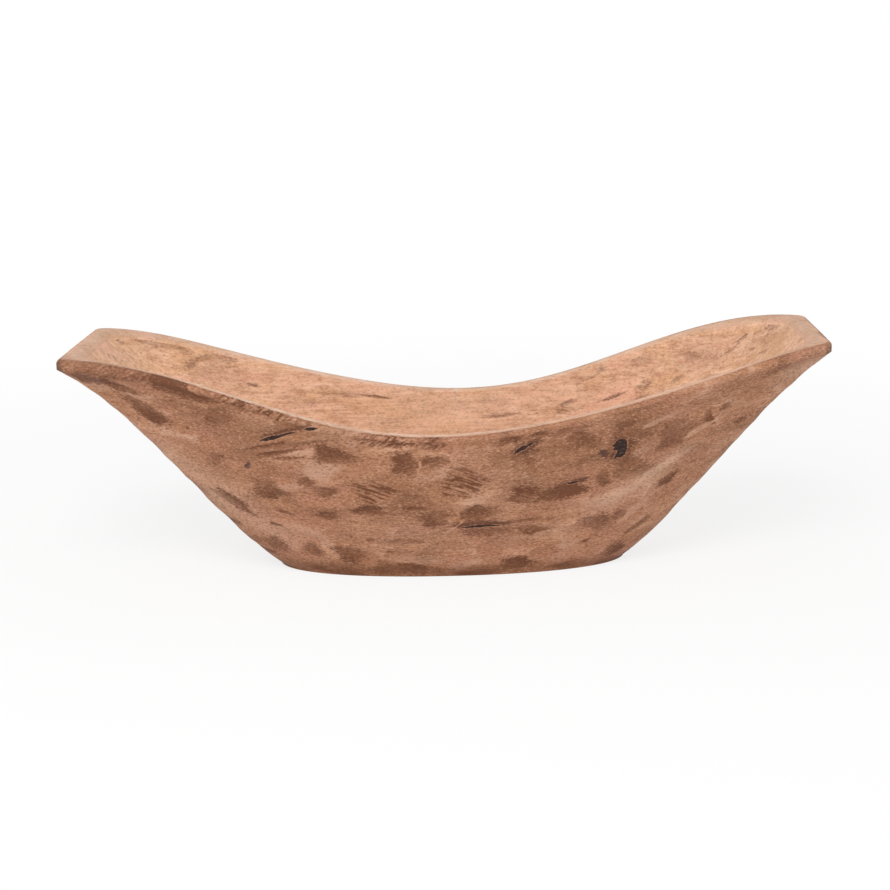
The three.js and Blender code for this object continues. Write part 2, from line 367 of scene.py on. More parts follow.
    def wall(self, at: Stations, rise: float) -> Array:
        """The outer wall before gouging.

        Args:
            at: the stations.
            rise: 0 at the base to 1 at the rim's edge.

        Returns:
            The points of one ring.
        """
        foot_x, foot_y = self.oval(at, self.base_length / 2, self.base_width / 2)
        top_x, top_y = self.rim_outline(at, 0, 0, self.end_corner)
        reach = np.hypot(top_x - foot_x, top_y - foot_y)
        ends = self.end_share(at)
        lower = self.prow_belly * swell(rise, self.prow_belly_rise)
        upper = np.where(top_x < 0, self.left_hollow, self.right_hollow) * swell(rise, self.prow_hollow_rise)
        belly = self.side_belly * 4 * rise * (1 - rise)
        share = rise + lerp(belly, lower - upper, ends) / reach
        crown = self.rim_height(top_x, top_y) - lerp(self.outer_edge, self.end_thickness, ends)
        height = lerp(self.base_round, crown, rise)
        return np.stack([lerp(foot_x, top_x, share), lerp(foot_y, top_y, share), height], -1)

    def hollow(self, at: Stations, rise: float) -> Array:
        """The hollow's wall.

        Args:
            at: the stations.
            rise: 0 at the floor's edge to 1 at the rim's inner edge.

        Returns:
            The points of one ring.
        """
        foot_x, foot_y = self.oval(at, self.floor_length / 2, self.floor_width / 2)
        top_x, top_y = self.rim_outline(at, self.rim_thickness, self.end_lip, self.hollow_corner)
        ends = self.end_share(at)
        steepness = lerp(self.side_hollowing, self.end_hollowing, ends)
        brink = self.rim_height(top_x, top_y) - lerp(self.inner_edge, self.lip_fall, ends)
        height = lerp(self.floor_thickness, brink, rise ** steepness)
        return np.stack([lerp(foot_x, top_x, rise), lerp(foot_y, top_y, rise), height], -1)

    def rim_ring(
        self, at: Stations, side_inset: float, end_inset: float, corner: float, drop: Array | float
    ) -> Array:
        """One ring of the rim, a drop below its top."""
        x, y = self.rim_outline(at, side_inset, end_inset, corner)
        return np.stack([x, y, self.rim_height(x, y) - drop], -1)


@dataclass(frozen=True)
class Drift:
    """How far a mark strays when it is laid again.

    Attributes:
        along: distance along the bowl, in millimetres.
        height: distance up the wall, in millimetres.
        turn: degrees.
        size: least and most share of its sizes.
        stain: least and most share of its stain.
    """
    along: float = 14
    height: float = 7
    turn: float = 8
    size: tuple[float, float] = (0.8, 1.3)
    stain: tuple[float, float] = (0.6, 1.1)


@dataclass(frozen=True)
class Mark:
    """A cut, a stain or a soft patch on the wood, in millimetres.

    Attributes:
        along: distance from the bowl's middle.
        height: height above the base.
        length: its longer size.
        width: its shorter size.
        turn: degrees from level, rising to the right.
        stain: how dark it is, or below 0 for a spot rubbed pale; on a soft patch it is also the strength of
            painted shade, or below 0 of painted light.
        comb: how much is torn into slanting streaks, 0 to 1, or below 0 for streaks that rise to the right.
        blue: how far its brown turns to a blue grey, 0 to 1.
        depth: how deep it is cut.
        across: its place across the bowl, where the distance and the height leave that open.
    """
    along: float
    height: float
    length: float
    width: float
    turn: float = 0
    stain: float = 0.7
    comb: float = 0
    blue: float = 0
    depth: float = 1.6
    across: Optional[float] = None

    def seed(self) -> int:
        """A seed of its own, from its place."""
        return int(abs(self.along) * SEED_STEPS[0] + self.height * SEED_STEPS[1])

    def again(self, hand: np.random.Generator, drift: Drift) -> "Mark":
        """The mark as the same hand would lay it on the far side of the bowl.

        Args:
            hand: the chance that moves it.
            drift: how far it may stray.

        Returns:
            The moved mark.
        """
        along = -self.along + hand.uniform(-drift.along, drift.along)
        height = self.height + hand.uniform(-drift.height, drift.height)
        length, width = hand.uniform(*drift.size, 2) * (self.length, self.width)
        turn = self.turn + hand.uniform(-drift.turn, drift.turn)
        stain = self.stain * hand.uniform(*drift.stain)
        return replace(self, along=along, height=height, length=length, width=width, turn=turn, stain=stain)


# The cuts and stains that show on the front wall, roughly from left to right. Then come shallower ones, spots
# rubbed pale, the dark wood round the filled cracks and the knot, and a torn stain along the rim's left end
# that is also painted shade on its band that faces the light.
# The numbers stand in the order of Mark's attributes.
FRONT_CUTS = (
    Mark(-288, 178, 44, 7, -14, 0.55, 0, 0.4),
    Mark(-264, 170, 36, 8, -30, 0.7),
    Mark(-243, 150, 38, 16, -40, 0.75),
    Mark(-215, 168, 50, 14, -22, 0.8),
    Mark(-191, 108, 14, 13, -30, 0.4, 0.6),
    Mark(-185, 148, 25, 19, -25, 0.45, 0.2),
    Mark(-181, 68, 44, 9, -40, 0.65),
    Mark(-168, 157, 30, 7, -22, 0.7, -0.9),
    Mark(-165, 103, 6, 6, 0, 0.8, 0, 0.7),
    Mark(-152, 83, 29, 20, -10, 0.6),
    Mark(-147, 27, 24, 15, -42, 0.5),
    Mark(-144, 48, 22, 3, -18, 0.7),
    Mark(-139, 60, 16, 4, -20, 0.55),
    Mark(-140, 137, 32, 8, 15, 0.45, 0.3),
    Mark(-150, 122, 40, 3, 14, 0.6),
    Mark(-138, 147, 34, 8, -20, 0.75, -0.9),
    Mark(-138, 117, 44, 4, 10, 0.65),
    Mark(-134, 111, 36, 3, 6, 0.5),
    Mark(-128, 124, 48, 5, 9, 0.5),
    Mark(-120, 90, 11, 10, 0, 0.4),
    Mark(-117, 25, 21, 12, -22, 0.55),
    Mark(-108, 4, 25, 6, -8, 0.5),
    Mark(-105, 81, 23, 10, 0, 0.55),
    Mark(-102, 59, 19, 8, 0, 0.65, 0.3),
    Mark(-98, 113, 29, 19, -14, 0.75),
    Mark(-86, 22, 25, 19, -8, 0.6),
    Mark(-69, 64, 32, 9, 0, 0.75),
    Mark(-69, 35, 9, 4, 0, 0.5),
    Mark(-67, 82, 36, 19, -20, 0.85, 1),
    Mark(-57, 125, 54, 8, -4, 0.8, -0.8),
    Mark(-55, 25, 6, 2, 0, 0.7),
    Mark(-48, 9, 41, 11, 4, 0.6),
    Mark(-47, 33, 45, 6, 0, 0.35),
    Mark(-47, 115, 16, 3, 0, 0.5),
    Mark(-40, 105, 24, 19, 0, 0.7),
    Mark(-32, 67, 25, 4, 0, 0.7, 0.3),
    Mark(-19, 122, 25, 7, 0, 0.7, -0.6),
    Mark(-17, 107, 24, 11, 10, 0.5),
    Mark(-17, 57, 28, 16, 0, 0.6),
    Mark(5, 90, 36, 26, -28, 0.85, 1),
    Mark(17, 60, 36, 14, 10, 0.65, 0.2),
    Mark(22, 4, 19, 7, 0, 0.65),
    Mark(23, 43, 38, 10, 0, 0.5),
    Mark(39, 124, 21, 8, 12, 0.6),
    Mark(49, 10, 32, 12, 5, 0.75),
    Mark(51, 109, 20, 10, -15, 0.5, 0.3),
    Mark(56, 76, 30, 15, 0, 0.8, 0.35),
    Mark(56, 52, 25, 3, 6, 0.5),
    Mark(61, 113, 11, 4, 0, 0.45),
    Mark(64, 42, 25, 12, 5, 0.5),
    Mark(65, 130, 16, 4, 14, 0.7),
    Mark(84, 76, 41, 15, 3, 0.85),
    Mark(87, 5, 20, 7, 6, 0.4),
    Mark(99, 122, 29, 16, 0, 0.5),
    Mark(107, 28, 9, 4, 15, 0.55),
    Mark(114, 46, 25, 18, 10, 0.5),
    Mark(117, 110, 10, 6, -20, 1.2, 0, 0.5),
    Mark(118, 87, 13, 15, 30, 0.65, 0.3),
    Mark(125, 107, 8, 5, 0, 1.2, 0, 0.5),
    Mark(132, 15, 26, 13, 30, 0.75),
    Mark(133, 134, 14, 8, 12, 0.5),
    Mark(138, 97, 30, 18, 40, 0.45),
    Mark(135, 51, 13, 11, 20, 0.45),
    Mark(153, 39, 27, 7, 42, 0.55),
    Mark(173, 82, 21, 9, 38, 0.75),
    Mark(177, 125, 38, 22, 25, 0.5),
    Mark(203, 136, 9, 15, 35, 0.7),
    Mark(215, 144, 11, 7, 30, 0.5),
    Mark(231, 130, 12, 7, 35, 0.55),
    Mark(254, 175, 22, 7, 24, 0.5, 0.5),
    Mark(-135, 134, 36, 5, 15, 0.9, 0, 0.2, 0.5),
    Mark(-122, 138, 20, 3, 10, 0.6, 0, 0.2, 0.5),
    Mark(88, 131, 40, 5, 8, 0.5, 0.2, 0, 0.6),
    Mark(146, 126, 44, 9, 10, 0.4, 0.3, 0, 0.8),
    Mark(-29, 6, 50, 7, 1, 0.5, 0, 0, 0.5),
    Mark(20, 3, 50, 5, 0, 0.6, 0, 0, 0.4),
    Mark(-294, 174, 24, 5, -20, 0.7, 0.4, 0.5, 0.5),
    Mark(-125, 116, 24, 9, 15, -0.3, 0, 0, 0.3),
    Mark(-106, 99, 32, 14, 10, -0.4, 0, 0, 0.3),
    Mark(-126, 44, 40, 12, -20, -0.2, 0, 0, 0.3),
    Mark(-29, 105, 16, 2.2, 80, -0.4, 0, 0, 0.3),
    Mark(-29, 17, 60, 8, 0, -0.2, 0, 0, 0.3),
    Mark(0, 49, 22, 2.5, 45, -0.3, 0, 0, 0.3),
    Mark(68, 38, 60, 7, 6, -0.2, 0, 0, 0.3),
    Mark(123, 69, 44, 12, 14, -0.36, 0, 0, 0.3),
    Mark(150, 58, 40, 8, 44, -0.3, 0, 0, 0.3),
    Mark(165, 92, 60, 8, 38, -0.34, 0, 0, 0.3),
    Mark(196, 126, 40, 5, 32, -0.34, 0, 0, 0.3),
    Mark(158, 134, 40, 5, 30, -0.3, 0, 0, 0.3),
    Mark(54, 118, 28, 9, 30, 0.85, 0, 0.2, 0.4),
    Mark(20, 51, 50, 7, 3, 0.85, 0, 0.2, 0.4),
    Mark(97, 86, 20, 5, 8, 0.8, 0, 0.2, 0.3),
    Mark(130, 114, 24, 24, 20, 0.6, 0, 0.1, 0.4),
    # partly painted shade: darkens the left end's top band, which faces the light
    Mark(-262, 181, 84, 10, -7, 0.55, -0.5, 0, 0.3),
)

# The stains that show in the hollow, on its back wall and its ends
HOLLOW_STAINS = (
    Mark(-281, 186, 7, 5, 0, 0.85, 0, 0.8, 0, 50),
    Mark(-279, 182, 14, 3, -40, 0.45, 0, 0.4, 0, 45),
    Mark(-256, 181, 30, 8, -10, 0.4, 0, 0, 0, 65),
    Mark(-245, 176, 16, 7, -20, 0.4, 0, 0, 0, 66),
    Mark(-233, 173, 22, 10, -30, 0.5, 0.2, 0, 0, 69),
    Mark(-221, 161, 24, 6, 30, 0.5, 0, 0, 0, 67),
    Mark(-209, 164, 22, 7, 8, 0.5, 0.2, 0, 0, 72),
    Mark(-192, 162, 26, 9, -12, 0.5, 0.3, 0, 0, 75),
    Mark(-171, 137, 24, 3, -8, 0.75, 0, 0, 0, 70),
    Mark(-289, 187, 18, 2, -30, 0.5, 0, 0, 0, 3),
    Mark(-283, 181, 22, 2, -30, 0.5, 0, 0, 0, 7),
    Mark(-277, 176, 26, 2.4, -28, 0.45, 0, 0, 0, 10),
    Mark(-291, 186, 16, 2, -10, 0.4, 0, 0.4, 0, -30),
    Mark(-129, 122, 30, 8, -8, 0.3, 0.3, 0, 0, 71),
    Mark(-95, 127, 40, 5, -10, 0.3, 0.2, 0, 0, 75),
    Mark(-61, 123, 27, 3, -12, 0.8, 0, 0, 0, 76),
    Mark(-50, 103, 34, 9, -6, 0.25, 0.3, 0, 0, 70),
    Mark(-20, 108, 44, 6, -3, 0.18, 0.3, 0, 0, 73),
    Mark(2, 115, 30, 12, 0, 0.2, 0.5, 0, 0, 75),
    Mark(40, 117, 30, 16, 4, 0.2, 0.3, 0, 0, 75),
    Mark(51, 105, 50, 3.6, 4, 0.75, 0.1, 0, 0, 71),
    Mark(106, 109, 20, 8, 8, 0.45, 0.6, 0, 0, 69),
    Mark(108, 118, 24, 3.4, 6, 0.7, 0.1, 0, 0, 72),
    Mark(127, 136, 24, 3, 6, 0.5, 0.2, 0.2, 0, 75),
    Mark(135, 144, 10, 5, 10, 0.5, 0.2, 0.5, 0, 77),
    Mark(144, 121, 24, 3.4, 16, 0.9, 0, 0.2, 0, 69),
    Mark(166, 120, 34, 6, 20, 0.5, 0.6, 0, 0, 63),
    Mark(168, 151, 28, 7, 14, 0.4, 0.4, 0, 0, 74),
    Mark(173, 131, 16, 8, 24, 0.6, 0.7, 0, 0, 66),
    Mark(200, 137, 14, 5, 24, 0.5, 0.3, 0.2, 0, 60),
    Mark(214, 155, 12, 12, 40, 0.4, 0.2, 0, 0, 65),
    Mark(247, 163, 22, 3, 40, 0.5, 0.2, 0, 0, 58),
    Mark(258, 173, 18, 2.4, 45, 0.65, 0, 0, 0, 60),
    Mark(261, 164, 6, 4, 10, 0.6, 0, 0, 0, 50),
    Mark(270, 166, 14, 2.4, 50, 0.5, 0, 0, 0, 33),
    Mark(283, 183, 14, 8, 35, 0.5, 0.3, 0.3, 0, 50),
)

# Broad soft patches on the front wall and the prows: the darker partly stain and partly painted shade, the
# paler partly rubbed wood and partly painted light
FRONT_WASHES_AND_PAINTED_LIGHT = (
    # painted shade: darkens the left end's top band, which faces the light
    Mark(-288, 186, 90, 18, -8, 0.8, across=-64),
    Mark(-275, 155, 50, 60, 0, -0.4, across=-20),
    Mark(-98, 8, 84, 20, -4, 0.95),
    Mark(-161, 131, 54, 36, -10, 0.8),
    Mark(-122, 98, 36, 34, 0, 0.45),
    Mark(-165, 116, 60, 26, -12, 0.4),
    Mark(-92, 122, 60, 16, -10, 0.4),
    Mark(-104, 134, 60, 20, -8, 0.55),
    Mark(-40, 40, 120, 50, 0, -0.16),
    Mark(-25, 99, 40, 26, 0, 0.3),
    Mark(29, 53, 40, 24, 0, 0.7),
    Mark(47, 104, 96, 56, 0, 0.6),
    Mark(57, 78, 66, 40, 0, 0.65),
    Mark(50, 40, 60, 22, 4, 0.45),
    Mark(40, 5, 80, 12, 0, 0.55),
    Mark(140, 140, 90, 16, 18, 0.5),
    Mark(140, 124, 60, 50, 20, 0.85),
    Mark(214, 158, 60, 18, 25, 0.6),
    Mark(-232, 112, 70, 30, -45, -0.5, across=-46),
    Mark(-190, 70, 70, 50, -48, -0.5, across=-48),
    Mark(-150, 42, 60, 30, -40, -0.4, across=-47),
    Mark(128, 66, 70, 26, 45, -0.4),
    Mark(160, 84, 50, 24, 42, -0.35),
    Mark(174, 100, 50, 16, 42, -0.3),
    Mark(225, 122, 70, 30, 42, -0.3, across=-40),
    # painted light on the right prow's tip
    Mark(283, 176, 64, 26, 30, -0.6, across=-62),
    Mark(293, 174, 60, 50, 40, -0.6, across=-12),
)

# The same on the hollow's back wall, partly stain and partly painted shade and painted light
HOLLOW_WASHES_AND_PAINTED_LIGHT = (
    Mark(-255, 178, 60, 20, -10, 0.3, across=64),
    Mark(-204, 150, 60, 36, -20, 0.34, across=67),
    # painted light on the middle of the back wall
    Mark(0, 110, 130, 60, 0, -0.5, across=74),
    Mark(225, 156, 60, 40, 25, 0.36, across=62),
    Mark(276, 172, 60, 40, 30, 0.3, across=45),
)


@dataclass
class Patch:
    """Rings of points on a surface, with the cuts and the stain in them.

    Attributes:
        points: the places, counted up the wall and then round the bowl.
        normals: the outward directions.
        depth: depth of the deepest cut.
        second: depth of the next deepest cut.
        reach: how far inside a stain a point is, 1 in its middle, 0 at its edge and -1 well outside.
        dark: how dark that stain is.
        comb: how much of it is torn into streaks.
        blue: how far it turns to a blue grey.
        facet: the deepest cut's own tone, -1 to 1.
        wash_and_painted_light: how far the wood is softly darkened, as stain and as painted shade, or
            lightened below 0, as rubbed wood and as painted light.
    """
    points: Array
    normals: Array
    depth: Array
    second: Array
    reach: Array
    dark: Array
    comb: Array
    blue: Array
    facet: Array
    wash_and_painted_light: Array

    @classmethod
    def from_rings(cls, points: Array) -> "Patch":
        """Sets up a surface of bare wood.

        Args:
            points: its rings of points.

        Returns:
            The surface, with no cut and no stain.
        """
        around = np.roll(points, -1, 1) - np.roll(points, 1, 1)
        up = np.gradient(points, axis=0)
        normals = np.cross(around, up)
        normals /= np.linalg.norm(normals, axis=-1, keepdims=True)
        count = points.shape[:2]
        bare = {name: np.zeros(count) for name in ("depth", "second", *PATCH_FIELDS)}
        bare["reach"] = np.full(count, OUT_OF_REACH)
        return cls(points, normals, **bare)

    def frame_at(self, mark: Mark, allowed: Array) -> tuple[Array, Array, Array, Array]:
        """The surface's place and directions nearest a mark.

        Args:
            mark: the mark.
            allowed: which points may be used.

        Returns:
            The place, the level direction, the upward direction and the outward direction.
        """
        gap = (self.points[..., 0] - mark.along) ** 2 + (self.points[..., 2] - mark.height) ** 2
        if mark.across is not None:
            gap += (self.points[..., 1] - mark.across) ** 2
        index = np.unravel_index(np.argmin(np.where(allowed, gap, np.inf)), gap.shape)
        out = self.normals[index]
        return self.points[index], *along_surface(out), out

    def spread(self, mark: Mark, allowed: Array) -> tuple[Array, Array, Array]:
        """How far each point lies from a mark's middle.

        Args:
            mark: the mark.
            allowed: which points it may reach.

        Returns:
            The distances along and across the mark as shares of half its sizes, and which points it reaches.
        """
        place, level, upward, out = self.frame_at(mark, allowed)
        turn = math.radians(mark.turn)
        long_way = math.cos(turn) * level + math.sin(turn) * upward
        short_way = math.cos(turn) * upward - math.sin(turn) * level
        offset = self.points - place
        along = offset @ long_way / (mark.length / 2)
        across = offset @ short_way / (mark.width / 2)
        return along, across, allowed & (np.abs(offset @ out) < mark.length)

    def cut(self, depth: Array, facet: Array | float) -> None:
        """Takes one cut out of the surface, and keeps the next deepest for the ridges between them.

        Args:
            depth: how deep the cut goes at each point.
            facet: the cut's own tone, -1 to 1.
        """
        deeper = depth > self.depth
        self.facet = np.where(deeper, facet, self.facet)
        self.second = np.where(deeper, self.depth, np.maximum(self.second, depth))
        self.depth = np.where(deeper, depth, self.depth)

    def stain(self, where: Array, reach: Array, dark: Array, comb: Array | float, blue: float = 0) -> None:
        """Stains some of the points.

        Args:
            where: which points take the stain.
            reach: how far inside the stain they are.
            dark: how dark it is.
            comb: how much of it is torn into streaks.
            blue: how far it turns to a blue grey.
        """
        self.reach = np.where(where, reach, self.reach)
        self.dark = np.where(where, dark, self.dark)
        self.comb = np.where(where, comb, self.comb)
        self.blue = np.where(where, blue, self.blue)

    def tint(self, mark: Mark, allowed: Array) -> None:
        """Darkens the wood softly round a mark, as stain and painted shade, or lightens it as painted light
        where the mark's stain is below 0.

        Args:
            mark: the mark.
            allowed: which points it may reach.
        """
        along, across, reached = self.spread(mark, allowed)
        fade = np.exp(-WASH_AND_LIGHT_FADE * (along ** 2 + across ** 2))
        self.wash_and_painted_light = self.wash_and_painted_light + np.where(reached, mark.stain * fade, 0)

    def lay(self, mark: Mark, allowed: Array) -> None:
        """Cuts and stains the surface with one mark, whose outline and strength wander a little.

        Args:
            mark: the mark.
            allowed: which points it may reach.
        """
        hand = np.random.default_rng(mark.seed())
        along, across, reached = self.spread(mark, allowed)
        angle = np.arctan2(across, along)
        wobble = np.ones_like(angle)
        for lobes, size in LOBES:
            wobble += size * np.sin(lobes * angle + hand.uniform(0, FULL_TURN))
        distance = np.where(reached, np.hypot(along, across) / wobble, np.inf)
        self.cut(mark.depth * np.clip(1 - distance ** 2, 0, 1), hand.uniform(*MARK_TONES))
        reach = np.clip(1 - distance, OUT_OF_REACH, 1)
        strength = lopsided(along, across, hand.uniform(0, FULL_TURN))
        self.stain(reach > self.reach, reach, mark.stain * strength, mark.comb, mark.blue)

    def ring(self, level: int) -> dict[str, Array]:
        """One ring's numbers for the finish."""
        ridge = 1 - smooth(self.depth[level] - self.second[level], 0, RIDGE_DROP)
        return {name: getattr(self, name)[level] for name in PATCH_FIELDS} | {"ridge": ridge}


class Salt(IntEnum):
    """The things about a gouge cut that stray from its neighbours."""
    PLACE = 1
    LEVEL = 2
    BITE = 3
    LOT = 4
    LEAN = 5
    STAIN_SIZE = 6
    FACET = 7


@dataclass(frozen=True)
class GougeRows:
    """The rows of gouge cuts all over the outside, laid by a steady but human hand, in millimetres.

    Pairs of numbers are a middle value and how far it strays from there.

    Attributes:
        length: a cut's length.
        height: a cut's height.
        depth: the deepest cut's depth.
        spacing: distance from cut to cut in a row.
        row_spacing: distance from row to row.
        scatter: how far a cut strays, as a share of the spacings.
        stain_share: the share of the cuts that hold stain.
        prow_share: the share of the depth that is left on the smoother prows.
        bite: a cut's depth as a share of the deepest.
        stain_size: a stain's size as a share of its cut's.
        stain_squash: how much lower than its cut a stain is.
        stain_dark: how dark a stain is.
        torn_comb: how much of a torn stain is streaks.
        torn_above: the lot above which a stain is torn, -1 to 1.
        lot_steps: what a cut's lot is multiplied by to give its squash, its darkness and its tearing.
        stray_steps: what row, column and salt are multiplied by before they are mixed.
        stray_mix: how hard they are mixed.
    """
    length: float = 40
    height: float = 27
    depth: float = 2.3
    spacing: float = 34
    row_spacing: float = 22
    scatter: float = 0.3
    stain_share: float = 0.45
    prow_share: float = 0.45
    bite: tuple[float, float] = (0.75, 0.25)
    stain_size: tuple[float, float] = (0.75, 0.25)
    stain_squash: tuple[float, float] = (1.5, 0.6)
    stain_dark: tuple[float, float] = (0.5, 0.2)
    torn_comb: float = 0.8
    torn_above: float = 0.5
    lot_steps: tuple[float, float, float] = (17, 9, 23)
    stray_steps: tuple[float, float, float] = (12.9898, 78.233, 37.719)
    stray_mix: float = 43758.5453

    def stray(self, row: Array, column: Array, salt: Salt) -> Array:
        """A repeatable stray from -1 to 1 for one thing about a cut.

        Args:
            row: the cut's row.
            column: the cut's place in its row.
            salt: the thing that strays.

        Returns:
            The stray at each point.
        """
        by_row, by_column, by_salt = self.stray_steps
        wave = np.sin(row * by_row + column * by_column + int(salt) * by_salt) * self.stray_mix
        return 2 * (wave - np.floor(wave)) - 1

    def lay(self, patch: Patch, around: Array, up: Array, plain: Array) -> None:
        """Cuts the rows into a surface and stains some of the cuts.

        Args:
            patch: the surface.
            around: each point's distance round the bowl.
            up: each point's distance up the wall.
            plain: where the cuts take no stain.
        """
        near_row = np.round(up / self.row_spacing)
        for row_step in (-1, 0, 1):
            row = near_row + row_step
            stagger = np.mod(row, 2) / 2
            near_column = np.round(around / self.spacing - stagger)
            for column_step in (-1, 0, 1):
                column = near_column + column_step
                place = column + stagger + self.scatter * self.stray(row, column, Salt.PLACE)
                level = row + self.scatter * self.stray(row, column, Salt.LEVEL)
                across = (around - place * self.spacing) / (self.length / 2)
                rise = (up - level * self.row_spacing) / (self.height / 2)
                bite = self.depth * (self.bite[0] + self.bite[1] * self.stray(row, column, Salt.BITE))
                patch.cut(bite * (1 - np.hypot(across, rise) ** 2), self.stray(row, column, Salt.FACET))
                self.stain_cut(patch, row, column, across, rise, plain)

    def stain_cut(
        self, patch: Patch, row: Array, column: Array, across: Array, rise: Array, plain: Array
    ) -> None:
        """Stains the cut at each point, if its lot falls that way.

        Args:
            patch: the surface.
            row: the cut's row.
            column: the cut's place in its row.
            across: distance from the cut's middle round the bowl, as a share of half its length.
            rise: distance from the cut's middle up the wall, as a share of half its height.
            plain: where the cuts take no stain.
        """
        lot = self.stray(row, column, Salt.LOT)
        squash, darkness, tearing = (np.sin(step * lot) for step in self.lot_steps)
        size = self.stain_size[0] + self.stain_size[1] * self.stray(row, column, Salt.STAIN_SIZE)
        low_rise = rise * (self.stain_squash[0] + self.stain_squash[1] * squash)
        reach = np.clip(1 - np.hypot(across, low_rise) / size, OUT_OF_REACH, 1)
        strength = lopsided(across, rise, np.pi * self.stray(row, column, Salt.LEAN))
        dark = (self.stain_dark[0] + self.stain_dark[1] * darkness) * strength
        comb = np.where(tearing > self.torn_above, self.torn_comb, 0)
        patch.stain((reach > patch.reach) & (lot < 2 * self.stain_share - 1) & ~plain, reach, dark, comb)


@dataclass(frozen=True)
class Grain:
    """The look of one noise.

    Attributes:
        size: its blotches' sizes along X, Y and Z, in millimetres.
        detail: how many finer layers it has.
        roughness: how strong those are.
        turn: degrees that the pattern is turned about Y.
        distortion: how far it is warped.
    """
    size: tuple[float, float, float]
    detail: float = 2
    roughness: float = 0.5
    turn: float = 0
    distortion: float = 0


class Figure(Enum):
    """The noises that figure the wood, from broad to fine, and two of slanting streaks."""
    CLOUDS = Grain((190, 70, 70))
    FLUSH = Grain((80, 34, 34), distortion=0.8)
    BLOTCHES = Grain((60, 26, 26), 3, 0.55, distortion=0.6)
    HUE = Grain((60, 26, 26), distortion=0.9)
    STREAKS = Grain((48, 2.4, 2.4), 3, 0.6)
    FINE = Grain((14, 0.8, 0.8), 2, 0.6)
    MOTTLE = Grain((13, 7, 7), 3, 0.65, distortion=0.5)
    SPECKLE = Grain((2.8, 1.3, 1.3), 3, 0.75)
    FALLING = Grain((28, 2, 1.8), 1, turn=-22, distortion=0.3)
    RISING = Grain((14, 2.2, 2), 1, turn=38)


@dataclass(frozen=True)
class GrowthRings:
    """The wood's growth rings, round a line along the bowl that lies below it and behind it.

    Attributes:
        shift: how far the pattern is moved, in metres.
        stretch: what the places are multiplied by first, so that the rings run on along X.
        spacing: distance from ring to ring, in millimetres.
        distortion: how far they are warped.
        detail: how many finer layers the warp has.
        detail_scale: the size of those.
    """
    shift: tuple[float, float, float] = (0, -0.06, 0.09)
    stretch: tuple[float, float, float] = (0.1, 1, 1)
    spacing: float = 11
    distortion: float = 16
    detail: float = 2
    detail_scale: float = 0.6


@dataclass(frozen=True)
class Ramp:
    """A smooth step of a number.

    Attributes:
        low: the number at which it leaves its start.
        high: the number at which it comes to its end.
        start: what it gives at low and before it.
        end: what it gives at high and after it.
    """
    low: float
    high: float
    start: float = 0
    end: float = 1


